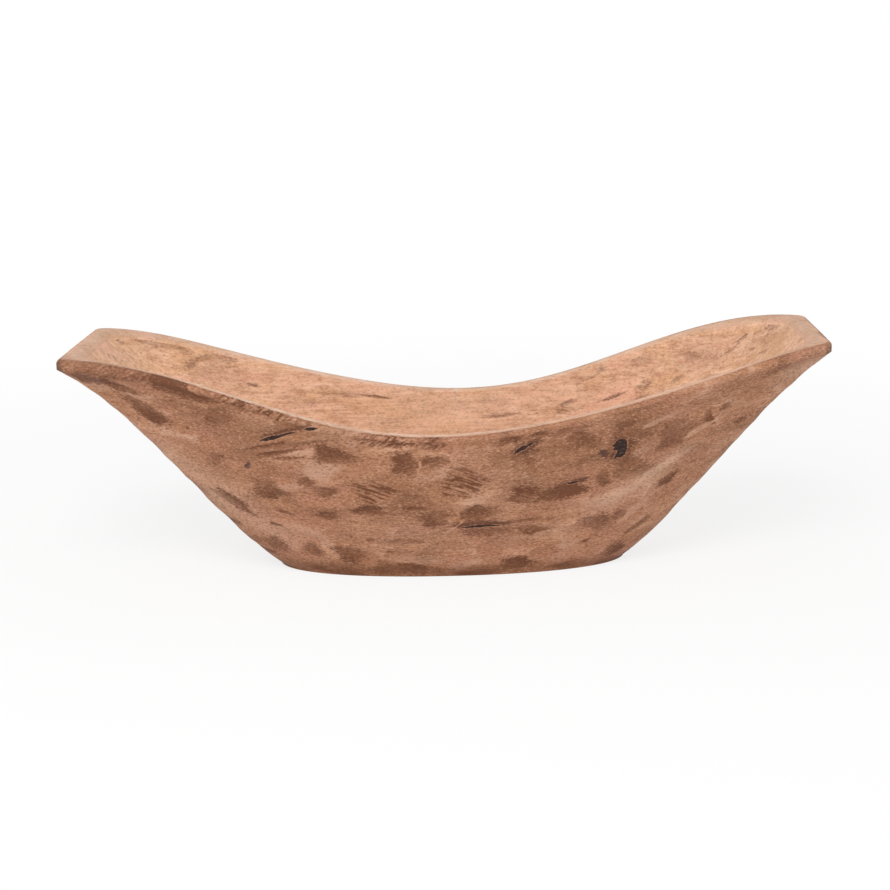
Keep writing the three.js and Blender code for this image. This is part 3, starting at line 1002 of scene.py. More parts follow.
class Shader:
    """A material's node tree, with short ways to add its nodes."""

    def __init__(self, name: str) -> None:
        """Starts a material with a Principled surface.

        Args:
            name: the material's name.
        """
        self.material = bpy.data.materials.new(name)
        self.material.use_nodes = True
        self.nodes = self.material.node_tree.nodes
        self.links = self.material.node_tree.links
        self.nodes.clear()
        self.surface = self.nodes.new("ShaderNodeBsdfPrincipled")
        self.output = self.nodes.new("ShaderNodeOutputMaterial")
        self.links.new(self.surface.outputs["BSDF"], self.output.inputs["Surface"])
        self.place = self.nodes.new("ShaderNodeTexCoord").outputs["Object"]
        self.figures: dict[Figure, Socket] = {}

    def put(self, socket: Socket, value: object) -> None:
        """Links a socket to another, or sets it to a number or colour.

        Args:
            socket: the socket that takes the value.
            value: another socket, a number or a colour.
        """
        if isinstance(value, Socket):
            self.links.new(value, socket)
        elif isinstance(value, tuple) and socket.type == "RGBA":
            socket.default_value = (*value, 1.0)
        else:
            socket.default_value = value

    def attribute(self, name: str) -> Socket:
        """A number stored on the mesh.

        Args:
            name: what it is stored as.

        Returns:
            The number.
        """
        node = self.nodes.new("ShaderNodeAttribute")
        node.attribute_name = name
        return node.outputs["Fac"]

    def height(self, ramp: Ramp) -> Socket:
        """A smooth step of the height above the base.

        Args:
            ramp: the step, in metres.

        Returns:
            What the step gives.
        """
        parts = self.nodes.new("ShaderNodeSeparateXYZ")
        self.put(parts.inputs["Vector"], self.place)
        return self.step(parts.outputs["Z"], ramp)

    def noise(self, grain: Grain) -> Socket:
        """Adds a noise.

        Args:
            grain: its look.

        Returns:
            The noise, about 0 to 1.
        """
        turned = self.nodes.new("ShaderNodeMapping")
        turned.inputs["Rotation"].default_value = (0, math.radians(grain.turn), 0)
        self.put(turned.inputs["Vector"], self.place)
        scaled = self.nodes.new("ShaderNodeMapping")
        scaled.inputs["Scale"].default_value = tuple(1 / (axis * MM) for axis in grain.size)
        self.put(scaled.inputs["Vector"], turned.outputs["Vector"])
        node = self.nodes.new("ShaderNodeTexNoise")
        self.put(node.inputs["Vector"], scaled.outputs["Vector"])
        node.inputs["Scale"].default_value = 1
        node.inputs["Detail"].default_value = grain.detail
        node.inputs["Roughness"].default_value = grain.roughness
        node.inputs["Distortion"].default_value = grain.distortion
        return node.outputs["Fac"]

    def figure(self, figure: Figure) -> Socket:
        """One of the wood's noises, added the first time that it is asked for.

        Args:
            figure: which noise.

        Returns:
            The noise, about 0 to 1.
        """
        if figure not in self.figures:
            self.figures[figure] = self.noise(figure.value)
        return self.figures[figure]

    def rings(self, rings: GrowthRings) -> Socket:
        """Adds growth rings.

        Args:
            rings: their look.

        Returns:
            The rings, 0 to 1.
        """
        moved = self.nodes.new("ShaderNodeMapping")
        moved.inputs["Location"].default_value = rings.shift
        moved.inputs["Scale"].default_value = rings.stretch
        self.put(moved.inputs["Vector"], self.place)
        node = self.nodes.new("ShaderNodeTexWave")
        node.wave_type = "RINGS"
        node.rings_direction = "X"
        self.put(node.inputs["Vector"], moved.outputs["Vector"])
        # At scale 1 the node's waves are pi / 10 apart
        node.inputs["Scale"].default_value = math.pi / 10 / (rings.spacing * MM)
        node.inputs["Distortion"].default_value = rings.distortion
        node.inputs["Detail"].default_value = rings.detail
        node.inputs["Detail Scale"].default_value = rings.detail_scale
        return node.outputs["Fac"]

    def weigh(self, *parts: tuple[Socket, float]) -> Socket:
        """Adds numbers up by weight.

        Args:
            parts: each number and its weight.

        Returns:
            The weighted sum.
        """
        total: object = 0.0
        for value, weight in parts:
            node = self.nodes.new("ShaderNodeMath")
            node.operation = "MULTIPLY_ADD"
            self.put(node.inputs[0], value)
            node.inputs[1].default_value = weight
            self.put(node.inputs[2], total)
            total = node.outputs["Value"]
        return total

    def maths(self, operation: str, first: object, second: object) -> Socket:
        """Does arithmetic on two numbers.

        Args:
            operation: its name in Blender.
            first: the first number.
            second: the second number.

        Returns:
            The result.
        """
        node = self.nodes.new("ShaderNodeMath")
        node.operation = operation
        self.put(node.inputs[0], first)
        self.put(node.inputs[1], second)
        return node.outputs["Value"]

    def times(self, first: object, second: object) -> Socket:
        """One number times another."""
        return self.maths("MULTIPLY", first, second)

    def above(self, value: Socket) -> Socket:
        """How far a number lies above 0."""
        return self.maths("MAXIMUM", value, 0.0)

    def below(self, value: Socket) -> Socket:
        """How far a number lies below 0."""
        return self.above(self.times(value, -1.0))

    def step(self, value: Socket, ramp: Ramp) -> Socket:
        """Takes a smooth step of a number.

        Args:
            value: the number.
            ramp: the step.

        Returns:
            What the step gives.
        """
        node = self.nodes.new("ShaderNodeMapRange")
        node.interpolation_type = "SMOOTHSTEP"
        self.put(node.inputs["Value"], value)
        node.inputs["From Min"].default_value = ramp.low
        node.inputs["From Max"].default_value = ramp.high
        node.inputs["To Min"].default_value = ramp.start
        node.inputs["To Max"].default_value = ramp.end
        return node.outputs["Result"]

    def mix(self, first: object, second: object, share: Socket) -> Socket:
        """Lays one colour over another.

        Args:
            first: the colour below.
            second: the colour on top.
            share: how much of it shows, 0 to 1.

        Returns:
            The mixed colour.
        """
        node = self.nodes.new("ShaderNodeMix")
        node.data_type = "RGBA"
        self.put(node.inputs["Factor"], share)
        self.put(node.inputs["A"], first)
        self.put(node.inputs["B"], second)
        return node.outputs["Result"]

    def bump(self, height: Socket, depth: float) -> None:
        """Gives the surface a fine relief.

        Args:
            height: the relief, 0 to 1.
            depth: its depth in millimetres.
        """
        node = self.nodes.new("ShaderNodeBump")
        node.inputs["Strength"].default_value = 1
        node.inputs["Distance"].default_value = depth * MM
        self.put(node.inputs["Height"], height)
        self.put(self.surface.inputs["Normal"], node.outputs["Normal"])

    def shine(self, roughness: Socket, specular: float) -> None:
        """Sets the surface's gloss."""
        self.put(self.surface.inputs["Roughness"], roughness)
        self.surface.inputs["Specular IOR Level"].default_value = specular


@dataclass(frozen=True)
class WoodFinish:
    """Dry, sanded mango wood, with stain left in the gouge cuts.

    First come its colours, then the noises and the smooth steps of them that say where each colour shows.

    Attributes:
        name: the material's name.
        pale: the palest wood outside.
        middle: the wood between pale and deep.
        deep: the darkest wood outside.
        blush: redder wood outside.
        hollow_pale: the palest wood in the hollow.
        hollow_deep: the darkest wood in the hollow.
        hollow_blush: redder wood in the hollow.
        hollow_tan: yellower wood in the hollow.
        stain: the stain in the cuts and on the foot.
        blue_stain: its blue grey.
        pore: the pores.
        fuzz_and_painted_light: pale, rubbed fibres.
        end_grain: the sawn end grain.
        edge: the worn edges.
        rings: the growth rings.
        outside_tone: the noises that mix the wood outside, with their weights.
        rings_weight: the weight of the growth rings in that mix.
        facet_weight: the weight of each cut's own tone in it.
        middle_share: where the mix turns from deep to middle.
        pale_share: where it turns from middle to pale.
        blush_share: where the wood outside is redder.
        ridge_share: how much of the ridges between the cuts is rubbed pale.
        inside_tone: the noises that mix the wood in the hollow, with their weights.
        hollow_pale_share: where that mix turns from deep to pale.
        hollow_blush_share: where the hollow is redder.
        hollow_tan_share: where the hollow is yellower.
        pale_specks: where pale specks show.
        stain_edge: the noises that make a stain's edge ragged, with their weights.
        stain_hold: how far inside a stain the wood holds it.
        stain_specks: how the specks of the wood change a stain's strength.
        stain_in_hollow: how the hollow weakens a stain.
        stain_limit: the most that a stain covers.
        falling_gaps: the gaps in stain that is torn in streaks falling to the right.
        rising_gaps: the gaps in stain that is torn in streaks rising to the right.
        pores_in_hollow: how the hollow weakens the pores.
        fine_pores: where the long fine pores show.
        round_pores: where the round pores show.
        foot_shade_height: the height, in metres, over which the painted shade along the foot fades.
        foot_shade_share: how much of the foot takes that painted shade.
        sawn_share: how much of the sawn grain is dark.
        wear_share: how much of an edge is worn.
        roughness: how rough the wood is.
        specular: the strength of its shine.
        relief: the noises of its fine relief, with their weights.
        relief_depth: the relief's depth in millimetres.
    """
    name: str = "mango_wood"
    pale: Colour = srgb(192, 143, 112)
    middle: Colour = srgb(164, 114, 83)
    deep: Colour = srgb(134, 90, 62)
    blush: Colour = srgb(172, 118, 94)
    hollow_pale: Colour = srgb(241, 198, 166)
    hollow_deep: Colour = srgb(186, 136, 105)
    hollow_blush: Colour = srgb(222, 162, 136)
    hollow_tan: Colour = srgb(232, 184, 138)
    # stain: the stain in the cuts, and the painted shade along the foot.
    stain: Colour = srgb(98, 56, 32)
    blue_stain: Colour = srgb(66, 50, 58)
    pore: Colour = srgb(96, 58, 41)
    fuzz_and_painted_light: Colour = srgb(212, 172, 146)
    end_grain: Colour = srgb(100, 72, 56)
    edge: Colour = srgb(238, 206, 184)
    rings: GrowthRings = GrowthRings()
    outside_tone: tuple[tuple[Figure, float], ...] = (
        (Figure.BLOTCHES, 0.65), (Figure.CLOUDS, 0.45), (Figure.STREAKS, 0.35),
    )
    rings_weight: float = 0.06
    facet_weight: float = 0.09
    middle_share: Ramp = Ramp(0.53, 0.755)
    pale_share: Ramp = Ramp(0.755, 0.99)
    blush_share: Ramp = Ramp(0.45, 0.62, 0, 0.4)
    ridge_share: Ramp = Ramp(0.42, 0.64, 0, 0.42)
    inside_tone: tuple[tuple[Figure, float], ...] = (
        (Figure.BLOTCHES, 0.5), (Figure.STREAKS, 0.45), (Figure.MOTTLE, 0.45),
    )
    hollow_pale_share: Ramp = Ramp(0.49, 0.87)
    hollow_blush_share: Ramp = Ramp(0.5, 0.64, 0, 0.45)
    hollow_tan_share: Ramp = Ramp(0.48, 0.36, 0, 0.4)
    pale_specks: Ramp = Ramp(0.5, 0.28, 0, 0.54)
    stain_edge: tuple[tuple[Figure, float], ...] = ((Figure.STREAKS, 0.45), (Figure.SPECKLE, 0.9))
    stain_hold: Ramp = Ramp(0.32, 1.02)
    stain_specks: Ramp = Ramp(0.35, 0.62, 0.88, 1.25)
    stain_in_hollow: Ramp = Ramp(0, 1, 1, 0.75)
    stain_limit: float = 0.92
    falling_gaps: Ramp = Ramp(0.46, 0.57, 0.85, 0)
    rising_gaps: Ramp = Ramp(0.45, 0.55, 1, 0)
    pores_in_hollow: Ramp = Ramp(0, 1, 1, 0.54)
    fine_pores: Ramp = Ramp(0.58, 0.75, 0, 0.4)
    round_pores: Ramp = Ramp(0.5, 0.7, 0, 0.8)
    foot_shade_height: Ramp = Ramp(0.016, 0.002)
    foot_shade_share: Ramp = Ramp(0.38, 0.6, 0.2, 0.8)
    sawn_share: Ramp = Ramp(0.35, 0.65, 0.4, 0.95)
    wear_share: Ramp = Ramp(0.36, 0.6, 1, 0.15)
    roughness: Ramp = Ramp(0.3, 0.7, 0.74, 0.6)
    specular: float = 0.25
    relief: tuple[tuple[Figure, float], ...] = (
        (Figure.STREAKS, 0.4), (Figure.FINE, 0.5), (Figure.SPECKLE, 0.8),
    )
    relief_depth: float = 0.25

    def material(self) -> bpy.types.Material:
        """Builds the finish.

        Returns:
            The material, which reads the marks that are stored on the mesh.
        """
        shader = Shader(self.name)
        colour = shader.mix(self.outside(shader), self.inside(shader), shader.attribute("hollow"))
        colour = self.washed_and_painted_light(shader, colour)
        colour = self.stained(shader, colour)
        colour = self.worn(shader, colour)
        shader.put(shader.surface.inputs["Base Color"], colour)
        shader.shine(shader.step(shader.figure(Figure.STREAKS), self.roughness), self.specular)
        shader.bump(shader.weigh(*self.figured(shader, self.relief)), self.relief_depth)
        return shader.material

    @staticmethod
    def figured(shader: Shader, weights: Sequence[tuple[Figure, float]]) -> list[tuple[Socket, float]]:
        """The wood's noises, each with its weight."""
        return [(shader.figure(figure), weight) for figure, weight in weights]

    def outside(self, shader: Shader) -> Socket:
        """The gouged outside, with growth rings and pale ridges between the cuts.

        Args:
            shader: the node tree.

        Returns:
            Its colour before washes and stain.
        """
        blotches = shader.figure(Figure.BLOTCHES)
        rings = (shader.rings(self.rings), self.rings_weight)
        facet = (shader.attribute("facet"), self.facet_weight)
        tone = shader.weigh(*self.figured(shader, self.outside_tone), rings, facet)
        colour = shader.mix(self.deep, self.middle, shader.step(tone, self.middle_share))
        colour = shader.mix(colour, self.pale, shader.step(tone, self.pale_share))
        colour = shader.mix(colour, self.blush, shader.step(shader.figure(Figure.FLUSH), self.blush_share))
        ridge = shader.times(shader.attribute("ridge"), shader.step(blotches, self.ridge_share))
        return shader.mix(colour, self.fuzz_and_painted_light, ridge)

    def inside(self, shader: Shader) -> Socket:
        """The sanded hollow, mottled where its grain runs in and out.

        Args:
            shader: the node tree.

        Returns:
            Its colour before washes and stain.
        """
        tone = shader.weigh(*self.figured(shader, self.inside_tone))
        hue = shader.figure(Figure.HUE)
        colour = shader.mix(self.hollow_deep, self.hollow_pale, shader.step(tone, self.hollow_pale_share))
        colour = shader.mix(colour, self.hollow_blush, shader.step(hue, self.hollow_blush_share))
        return shader.mix(colour, self.hollow_tan, shader.step(hue, self.hollow_tan_share))

    def washed_and_painted_light(self, shader: Shader, colour: Socket) -> Socket:
        """The wood with its soft patches, darker as stain and painted shade or paler as painted light, and
        its pale specks.

        Args:
            shader: the node tree.
            colour: the wood's own colour.

        Returns:
            The new colour.
        """
        wash_and_painted_light = shader.attribute("wash_and_painted_light")
        light = shader.mix(self.fuzz_and_painted_light, self.hollow_pale, shader.attribute("hollow"))
        # painted shade and painted light: the soft patches darken towards deep wood and lighten towards pale
        # wood
        colour = shader.mix(colour, self.deep, shader.above(wash_and_painted_light))
        colour = shader.mix(colour, light, shader.below(wash_and_painted_light))
        return shader.mix(colour, light, shader.step(shader.figure(Figure.SPECKLE), self.pale_specks))

    def stained(self, shader: Shader, colour: Socket) -> Socket:
        """The stain in the cuts, ragged along the grain and torn to streaks where the tool dragged.

        Args:
            shader: the node tree.
            colour: the wood's colour.

        Returns:
            The new colour.
        """
        reach = shader.weigh((shader.attribute("reach"), 1), *self.figured(shader, self.stain_edge))
        comb = shader.attribute("comb")
        falling = shader.step(shader.figure(Figure.FALLING), self.falling_gaps)
        rising = shader.step(shader.figure(Figure.RISING), self.rising_gaps)
        gaps = (shader.times(falling, shader.above(comb)), shader.times(rising, shader.below(comb)))
        kept = shader.maths("SUBTRACT", 1.0, shader.maths("ADD", *gaps))
        dark = shader.times(
            shader.attribute("dark"), shader.step(shader.figure(Figure.SPECKLE), self.stain_specks)
        )
        dark = shader.times(dark, shader.step(shader.attribute("hollow"), self.stain_in_hollow))
        stain = shader.times(shader.times(shader.step(reach, self.stain_hold), kept), dark)
        tint = shader.mix(self.stain, self.blue_stain, shader.attribute("blue"))
        colour = shader.mix(colour, tint, shader.maths("MINIMUM", shader.above(stain), self.stain_limit))
        return shader.mix(colour, self.fuzz_and_painted_light, shader.below(stain))

    def worn(self, shader: Shader, colour: Socket) -> Socket:
        """The wood with its pores, painted shade along its foot, its sawn ends and its worn edges.

        Args:
            shader: the node tree.
            colour: the stained colour.

        Returns:
            The new colour.
        """
        rough = shader.step(shader.attribute("hollow"), self.pores_in_hollow)
        foot = shader.height(self.foot_shade_height)
        layers = (
            (self.pore, rough, Figure.FINE, self.fine_pores),
            (self.pore, rough, Figure.SPECKLE, self.round_pores),
            # painted shade: the stain colour laid along the foot, darker towards the base
            (self.stain, foot, Figure.BLOTCHES, self.foot_shade_share),
            (self.end_grain, shader.attribute("grain"), Figure.STREAKS, self.sawn_share),
            (self.edge, shader.attribute("edge"), Figure.MOTTLE, self.wear_share),
        )
        for layer, where, figure, share in layers:
            colour = shader.mix(colour, layer, shader.times(where, shader.step(shader.figure(figure), share)))
        return colour


@dataclass(frozen=True)
class FillerFinish:
    """Dark filler, sanded flush, with grains of wood dust in it.

    Attributes:
        name: the material's name.
        dark: the filler.
        dusty: the filler where dust lies in it.
        dust: the noise of the dust.
        dust_share: where dust shows.
        roughness: how rough the filler is.
        specular: the strength of its shine.
        relief_depth: the depth of its fine relief in millimetres.
    """
    name: str = "dark_filler"
    dark: Colour = srgb(42, 25, 21)
    dusty: Colour = srgb(90, 70, 58)
    dust: Grain = Grain((2.4, 1.2, 1.2), 3, 0.65)
    dust_share: Ramp = Ramp(0.44, 0.76)
    roughness: Ramp = Ramp(0.3, 0.7, 0.55, 0.75)
    specular: float = 0.2
    relief_depth: float = 0.15

    def material(self) -> bpy.types.Material:
        """Builds the finish.

        Returns:
            The material.
        """
        shader = Shader(self.name)
        dust = shader.noise(self.dust)
        colour = shader.mix(self.dark, self.dusty, shader.step(dust, self.dust_share))
        shader.put(shader.surface.inputs["Base Color"], colour)
        shader.shine(shader.step(dust, self.roughness), self.specular)
        shader.bump(dust, self.relief_depth)
        return shader.material


@dataclass
class Skin:
    """A closed skin of rings, from the base's middle up the outside and down to the floor's middle."""
    rings: list[Array] = field(default_factory=list)

    def add(self, ring: Array) -> None:
        """Adds the next ring."""
        self.rings.append(ring)

    def faces(self) -> list[tuple[int, ...]]:
        """The skin's faces, with a fan at each end.

        Returns:
            The faces' point numbers: point 0 is the base's middle and the last is the floor's.
        """
        around = len(self.rings[0])
        last = len(self.rings) * around + 1
        this = np.arange(around)
        following = np.roll(this, -1)
        faces = [(0, int(b) + 1, int(a) + 1) for a, b in zip(this, following)]
        for ring in range(len(self.rings) - 1):
            low = 1 + ring * around
            high = low + around
            quads = np.stack([low + this, low + following, high + following, high + this], -1)
            faces.extend(map(tuple, quads.tolist()))
        top = last - around
        faces.extend((int(a) + top, int(b) + top, last) for a, b in zip(this, following))
        return faces


@dataclass
class BowlBody:
    """The one-piece carved body.

    Attributes:
        form: its sizes.
        finish: its wood.
        rows: the gouge cuts on its outside.
        drift: how far the back wall's marks stray from the front wall's.
        front_steps: mesh steps along the front side.
        back_steps: mesh steps along the back side.
        corner_steps: mesh steps round each corner.
        end_steps: mesh steps across each end.
        wall_steps: mesh steps up the outer wall.
        hollow_steps: mesh steps down the hollow.
        edge_steps: mesh steps round each rounded edge.
        cap_shares: sizes of the rings inside the base and the floor, as shares of theirs.
        hollow_crowding: how much closer the hollow's rings lie near the rim, as a power.
        back_share: the share of the front wall's marks that the back wall has too.
        back_seed: the seed of the chance that lays them.
        cut_start: the rise at which the cuts have come to their full depth above the base.
        cut_end: the rise at which they start to fade below the rim.
        rim_wear: how pale the rim's top is worn at its right and at its left, 0 to 1.
        rim_wear_x: the distances along the bowl between which that changes, in millimetres.
        top_wear_lost: how much of the top's wear is lost round the ends.
        inner_wear: how pale the inner edge is worn.
        inner_wear_lost: how much of that is lost round the ends.
        lip_grain: how much sawn grain shows on the lips.
        skin: the rings laid so far.
        fields: the numbers stored for each ring.
    """
    form: BowlForm
    finish: WoodFinish
    rows: GougeRows
    drift: Drift
    front_steps: int = 300
    back_steps: int = 220
    corner_steps: int = 7
    end_steps: int = 44
    wall_steps: int = 92
    hollow_steps: int = 39
    edge_steps: int = 4
    cap_shares: tuple[float, ...] = (0.25, 0.6, 0.85)
    hollow_crowding: float = 1.5
    back_share: float = 0.85
    back_seed: int = 11
    cut_start: float = 0.2
    cut_end: float = 0.97
    rim_wear: tuple[float, float] = (0.2, 0.8)
    rim_wear_x: tuple[float, float] = (50, -150)
    top_wear_lost: float = 0.7
    inner_wear: float = 0.8
    inner_wear_lost: float = 0.45
    lip_grain: float = 0.28
    skin: Skin = field(default_factory=Skin)
    fields: dict[str, list[Array]] = field(default_factory=dict)

    def add_ring(
        self, ring: Array, region: Region, edge: Array | float = 0, marks: Optional[dict[str, Array]] = None
    ) -> None:
        """Adds a ring with its stored numbers.

        Args:
            ring: its points.
            region: the part of the skin that it lies on.
            edge: how pale it is worn, 0 to 1.
            marks: numbers that take the place of bare wood's.
        """
        count = len(ring)
        self.skin.add(ring)
        values = {name: np.zeros(count) for name in STORED_FIELDS}
        values["reach"] = np.full(count, OUT_OF_REACH)
        values["hollow"] = np.full(count, region.value)
        values.update(marks or {})
        values["edge"] = np.broadcast_to(edge, count)
        for name, numbers in values.items():
            self.fields.setdefault(name, []).append(numbers)

    def add_oval(
        self, at: Stations, half_length: float, half_width: float, height: float, region: Region
    ) -> None:
        """Adds a level oval ring of the base or the floor.

        Args:
            at: the stations.
            half_length: half its length.
            half_width: half its width.
            height: its height.
            region: the part of the skin that it lies on.
        """
        x, y = self.form.oval(at, half_length, half_width)
        self.add_ring(np.stack([x, y, np.full_like(x, height)], -1), region)

    def distances(self, points: Array) -> tuple[Array, Array]:
        """Measures the outer wall.

        Args:
            points: its rings of points.

        Returns:
            Each point's distance round the bowl at half height, and its distance up the wall.
        """
        middle = points[self.wall_steps // 2]
        around = np.concatenate([[0.0], np.cumsum(np.linalg.norm(np.diff(middle, axis=0), axis=1))])
        climbs = np.linalg.norm(np.diff(points, axis=0), axis=2)
        up = np.concatenate([np.zeros((1, len(around))), np.cumsum(climbs, axis=0)])
        return np.broadcast_to(around, up.shape), up

    def gouged_wall(self, at: Stations) -> Patch:
        """The outer wall, with its cuts and their stain.

        Args:
            at: the stations.

        Returns:
            The wall, from the base up.
        """
        rises = np.linspace(0, 1, self.wall_steps + 1)
        patch = Patch.from_rings(np.stack([self.form.wall(at, rise) for rise in rises]))
        around, up = self.distances(patch.points)
        sides = np.broadcast_to(at.is_kind(Stretch.SIDE), up.shape)
        front = sides & (at.across < 0)
        self.rows.lay(patch, around, up, sides)
        for mark in FRONT_WASHES_AND_PAINTED_LIGHT:
            patch.tint(mark, ~sides | front)
        hand = np.random.default_rng(self.back_seed)
        for mark in FRONT_CUTS:
            patch.lay(mark, front)
            if hand.uniform() < self.back_share:
                patch.lay(mark.again(hand, self.drift), sides & ~front)
        edges = smooth(rises, 0, self.cut_start) * smooth(rises, 1, self.cut_end)
        share = edges[:, None] * lerp(1, self.rows.prow_share, self.form.end_share(at))
        patch.points = patch.points - patch.normals * (patch.depth * share)[..., None]
        return patch

    def stained_hollow(self, at: Stations) -> Patch:
        """The hollow with its stains.

        Args:
            at: the stations.

        Returns:
            The hollow, from its rim down to its floor.
        """
        rises = 1 - np.linspace(0, 1, self.hollow_steps + 1) ** self.hollow_crowding
        patch = Patch.from_rings(np.stack([self.form.hollow(at, rise) for rise in rises]))
        front = np.broadcast_to(at.is_kind(Stretch.SIDE) & (at.across < 0), patch.depth.shape)
        for mark in HOLLOW_STAINS:
            patch.lay(mark, ~front)
        for mark in HOLLOW_WASHES_AND_PAINTED_LIGHT:
            patch.tint(mark, ~front)
        return patch

    def rounded(self) -> list[tuple[float, float]]:
        """Sine and cosine of each step of a quarter round."""
        turns = np.linspace(0, np.pi / 2, self.edge_steps + 1)
        return [(math.sin(turn), math.cos(turn)) for turn in turns]

    def lay_base(self, at: Stations) -> None:
        """Lays the flat base and its rounded edge.

        Args:
            at: the stations.
        """
        form = self.form
        flat_length = form.base_length / 2 - form.base_round
        flat_width = form.base_width / 2 - form.base_round
        for share in self.cap_shares:
            self.add_oval(at, flat_length * share, flat_width * share, 0, Region.OUTSIDE)
        for out, down in self.rounded()[:-1]:
            inset = form.base_round * (1 - out)
            height = form.base_round * (1 - down)
            half_length, half_width = form.base_length / 2 - inset, form.base_width / 2 - inset
            self.add_oval(at, half_length, half_width, height, Region.OUTSIDE)

    def lay_wall(self, at: Stations) -> None:
        """Lays the outer wall, and the rim's outer edge with the blunt faces of the ends below it.

        Args:
            at: the stations.
        """
        form = self.form
        wall = self.gouged_wall(at)
        blunt = 1.0 - at.is_kind(Stretch.SIDE)
        for level in range(len(wall.points)):
            marks = wall.ring(level)
            marks["grain"] = blunt * (level == len(wall.points) - 1)
            self.add_ring(wall.points[level], Region.OUTSIDE, marks=marks)
        for rise, out in self.rounded():
            inset = form.outer_edge * (1 - out)
            ring = form.rim_ring(at, inset, inset, form.end_corner, form.outer_edge * (1 - rise))
            is_top = rise == 1
            wear = lerp(*self.rim_wear, smooth(ring[:, 0], *self.rim_wear_x))
            pale = is_top * wear * (1 - self.top_wear_lost * form.end_share(at))
            marks = wall.ring(-1)
            marks["grain"] = blunt * (1 - rise)
            self.add_ring(ring, Region.RIM if is_top else Region.OUTSIDE, pale, marks)

    def lay_inner_edge(self, at: Stations) -> None:
        """Lays the rim's inner edge, which falls away as a wide lip round the ends.

        Args:
            at: the stations.
        """
        form = self.form
        ends = form.end_share(at)
        for across, up in self.rounded():
            inset = lerp(form.inner_edge, form.lip_edge, ends) * (1 - across)
            fall = lerp(form.inner_edge * (1 - up), form.lip_fall * across ** 2, ends)
            side_inset, end_inset = form.rim_thickness - inset, form.end_lip - inset
            ring = form.rim_ring(at, side_inset, end_inset, form.hollow_corner, fall)
            hollow = np.full_like(ends, lerp(Region.HOLLOW.value, Region.RIM.value, up))
            marks = {"grain": self.lip_grain * up * ends, "hollow": hollow}
            wear = self.inner_wear * up ** 2 * (1 - self.inner_wear_lost * ends)
            self.add_ring(ring, Region.RIM, wear, marks)

    def lay_hollow(self, at: Stations) -> None:
        """Lays the hollow and its floor.

        Args:
            at: the stations.
        """
        form = self.form
        hollow = self.stained_hollow(at)
        for level in range(1, len(hollow.points)):
            self.add_ring(hollow.points[level], Region.HOLLOW, marks=hollow.ring(level))
        for share in reversed(self.cap_shares):
            half_length, half_width = form.floor_length / 2 * share, form.floor_width / 2 * share
            self.add_oval(at, half_length, half_width, form.floor_thickness, Region.HOLLOW)

    def dress(self, mesh: bpy.types.Mesh) -> None:
        """Stores the rings' numbers on the body's mesh and gives it its finish.

        Args:
            mesh: the mesh.
        """
        for name, rings in self.fields.items():
            numbers = np.concatenate([rings[0][:1], *rings, rings[-1][:1]]).astype(np.float32)
            mesh.attributes.new(name, "FLOAT", "POINT").data.foreach_set("value", numbers)
        mesh.materials.append(self.finish.material())
        mesh.shade_smooth()

    def build(self) -> bpy.types.Object:
        """Makes the body's object.

        Returns:
            The object, with its finish and stored numbers.
        """
        at = Stations.round_bowl(self.front_steps, self.back_steps, self.corner_steps, self.end_steps)
        for lay in (self.lay_base, self.lay_wall, self.lay_inner_edge, self.lay_hollow):
            lay(at)
        middle = np.array([[0, 0, 0.0]])
        top = np.array([[0, 0, self.form.floor_thickness]])
        points = np.concatenate([middle, *self.skin.rings, top]) * MM
        mesh = bpy.data.meshes.new("bowl_body_carved")
        mesh.from_pydata(points.tolist(), [], self.skin.faces())
        self.dress(mesh)
        piece = bpy.data.objects.new("carved_bowl", mesh)
        bpy.context.scene.collection.objects.link(piece)
        return piece


@dataclass(frozen=True)
class Fill:
    """Dark filler in a fault of the front wall, in millimetres.

    Attributes:
        node: the name of its solid.
        along: its place as a share of the side's half length.
        rise: its place as a share of the wall's rise.
        turn: degrees from level, rising to the right.
        sunk: how deep it goes.
    """
    node: str
    along: float
    rise: float
    turn: float
    sunk: float = field(default=4.5, kw_only=True)

    def outline(self, grow: float) -> Array:
        """The outline on the wall, grown all round."""
        raise NotImplementedError

    def place(self, form: BowlForm) -> tuple[Array, Array, Array, Array]:
        """Finds its middle on the wall.

        Args:
            form: the bowl that it is in.

        Returns:
            The middle, and the wall's level, upward and outward directions there.
        """
        def spot(along: float, rise: float) -> Array:
            """A place on the wall a little way off."""
            return form.wall(Stations.on_front(self.along + along), self.rise + rise)[0]
        step = 0.01
        out = np.cross(spot(step, 0) - spot(-step, 0), spot(0, step) - spot(0, -step))
        out /= np.linalg.norm(out)
        return spot(0, 0), *along_surface(out), out

    def prism(self, form: BowlForm, grow: float) -> bpy.types.Object:
        """The outline as a prism through the wall's skin.

        Args:
            form: the bowl that it is in.
            grow: how far it is grown all round.

        Returns:
            A new object in metres.
        """
        middle, level, upward, out = self.place(form)
        cosine, sine = math.cos(math.radians(self.turn)), math.sin(math.radians(self.turn))
        flat = self.outline(grow) @ np.array([[cosine, sine], [-sine, cosine]])
        ring = middle + flat[:, :1] * level + flat[:, 1:] * upward
        depth = (self.sunk + grow) * out
        points = np.concatenate([ring - depth, ring + depth]) * MM
        count = len(ring)
        sides = [(i, (i + 1) % count, (i + 1) % count + count, i + count) for i in range(count)]
        caps = [tuple(range(count - 1, -1, -1)), tuple(range(count, 2 * count))]
        mesh = bpy.data.meshes.new(self.node)
        mesh.from_pydata(points.tolist(), [], sides + caps)
        prism = bpy.data.objects.new(self.node + "_filler", mesh)
        bpy.context.scene.collection.objects.link(prism)
        return prism


def curve(points: Sequence[tuple[float, float]], steps: int = 12) -> Array:
    """A Bezier curve.

    Args:
        points: its first point, the points that it is drawn to, and its last point.
        steps: how many steps it has.

    Returns:
        The points on it, without the last.
    """
    t = np.arange(steps)[:, None] / steps
    order = len(points) - 1
    weights = [math.comb(order, i) * t ** i * (1 - t) ** (order - i) for i in range(order + 1)]
    return sum(weight * np.array(point, float) for weight, point in zip(weights, points))


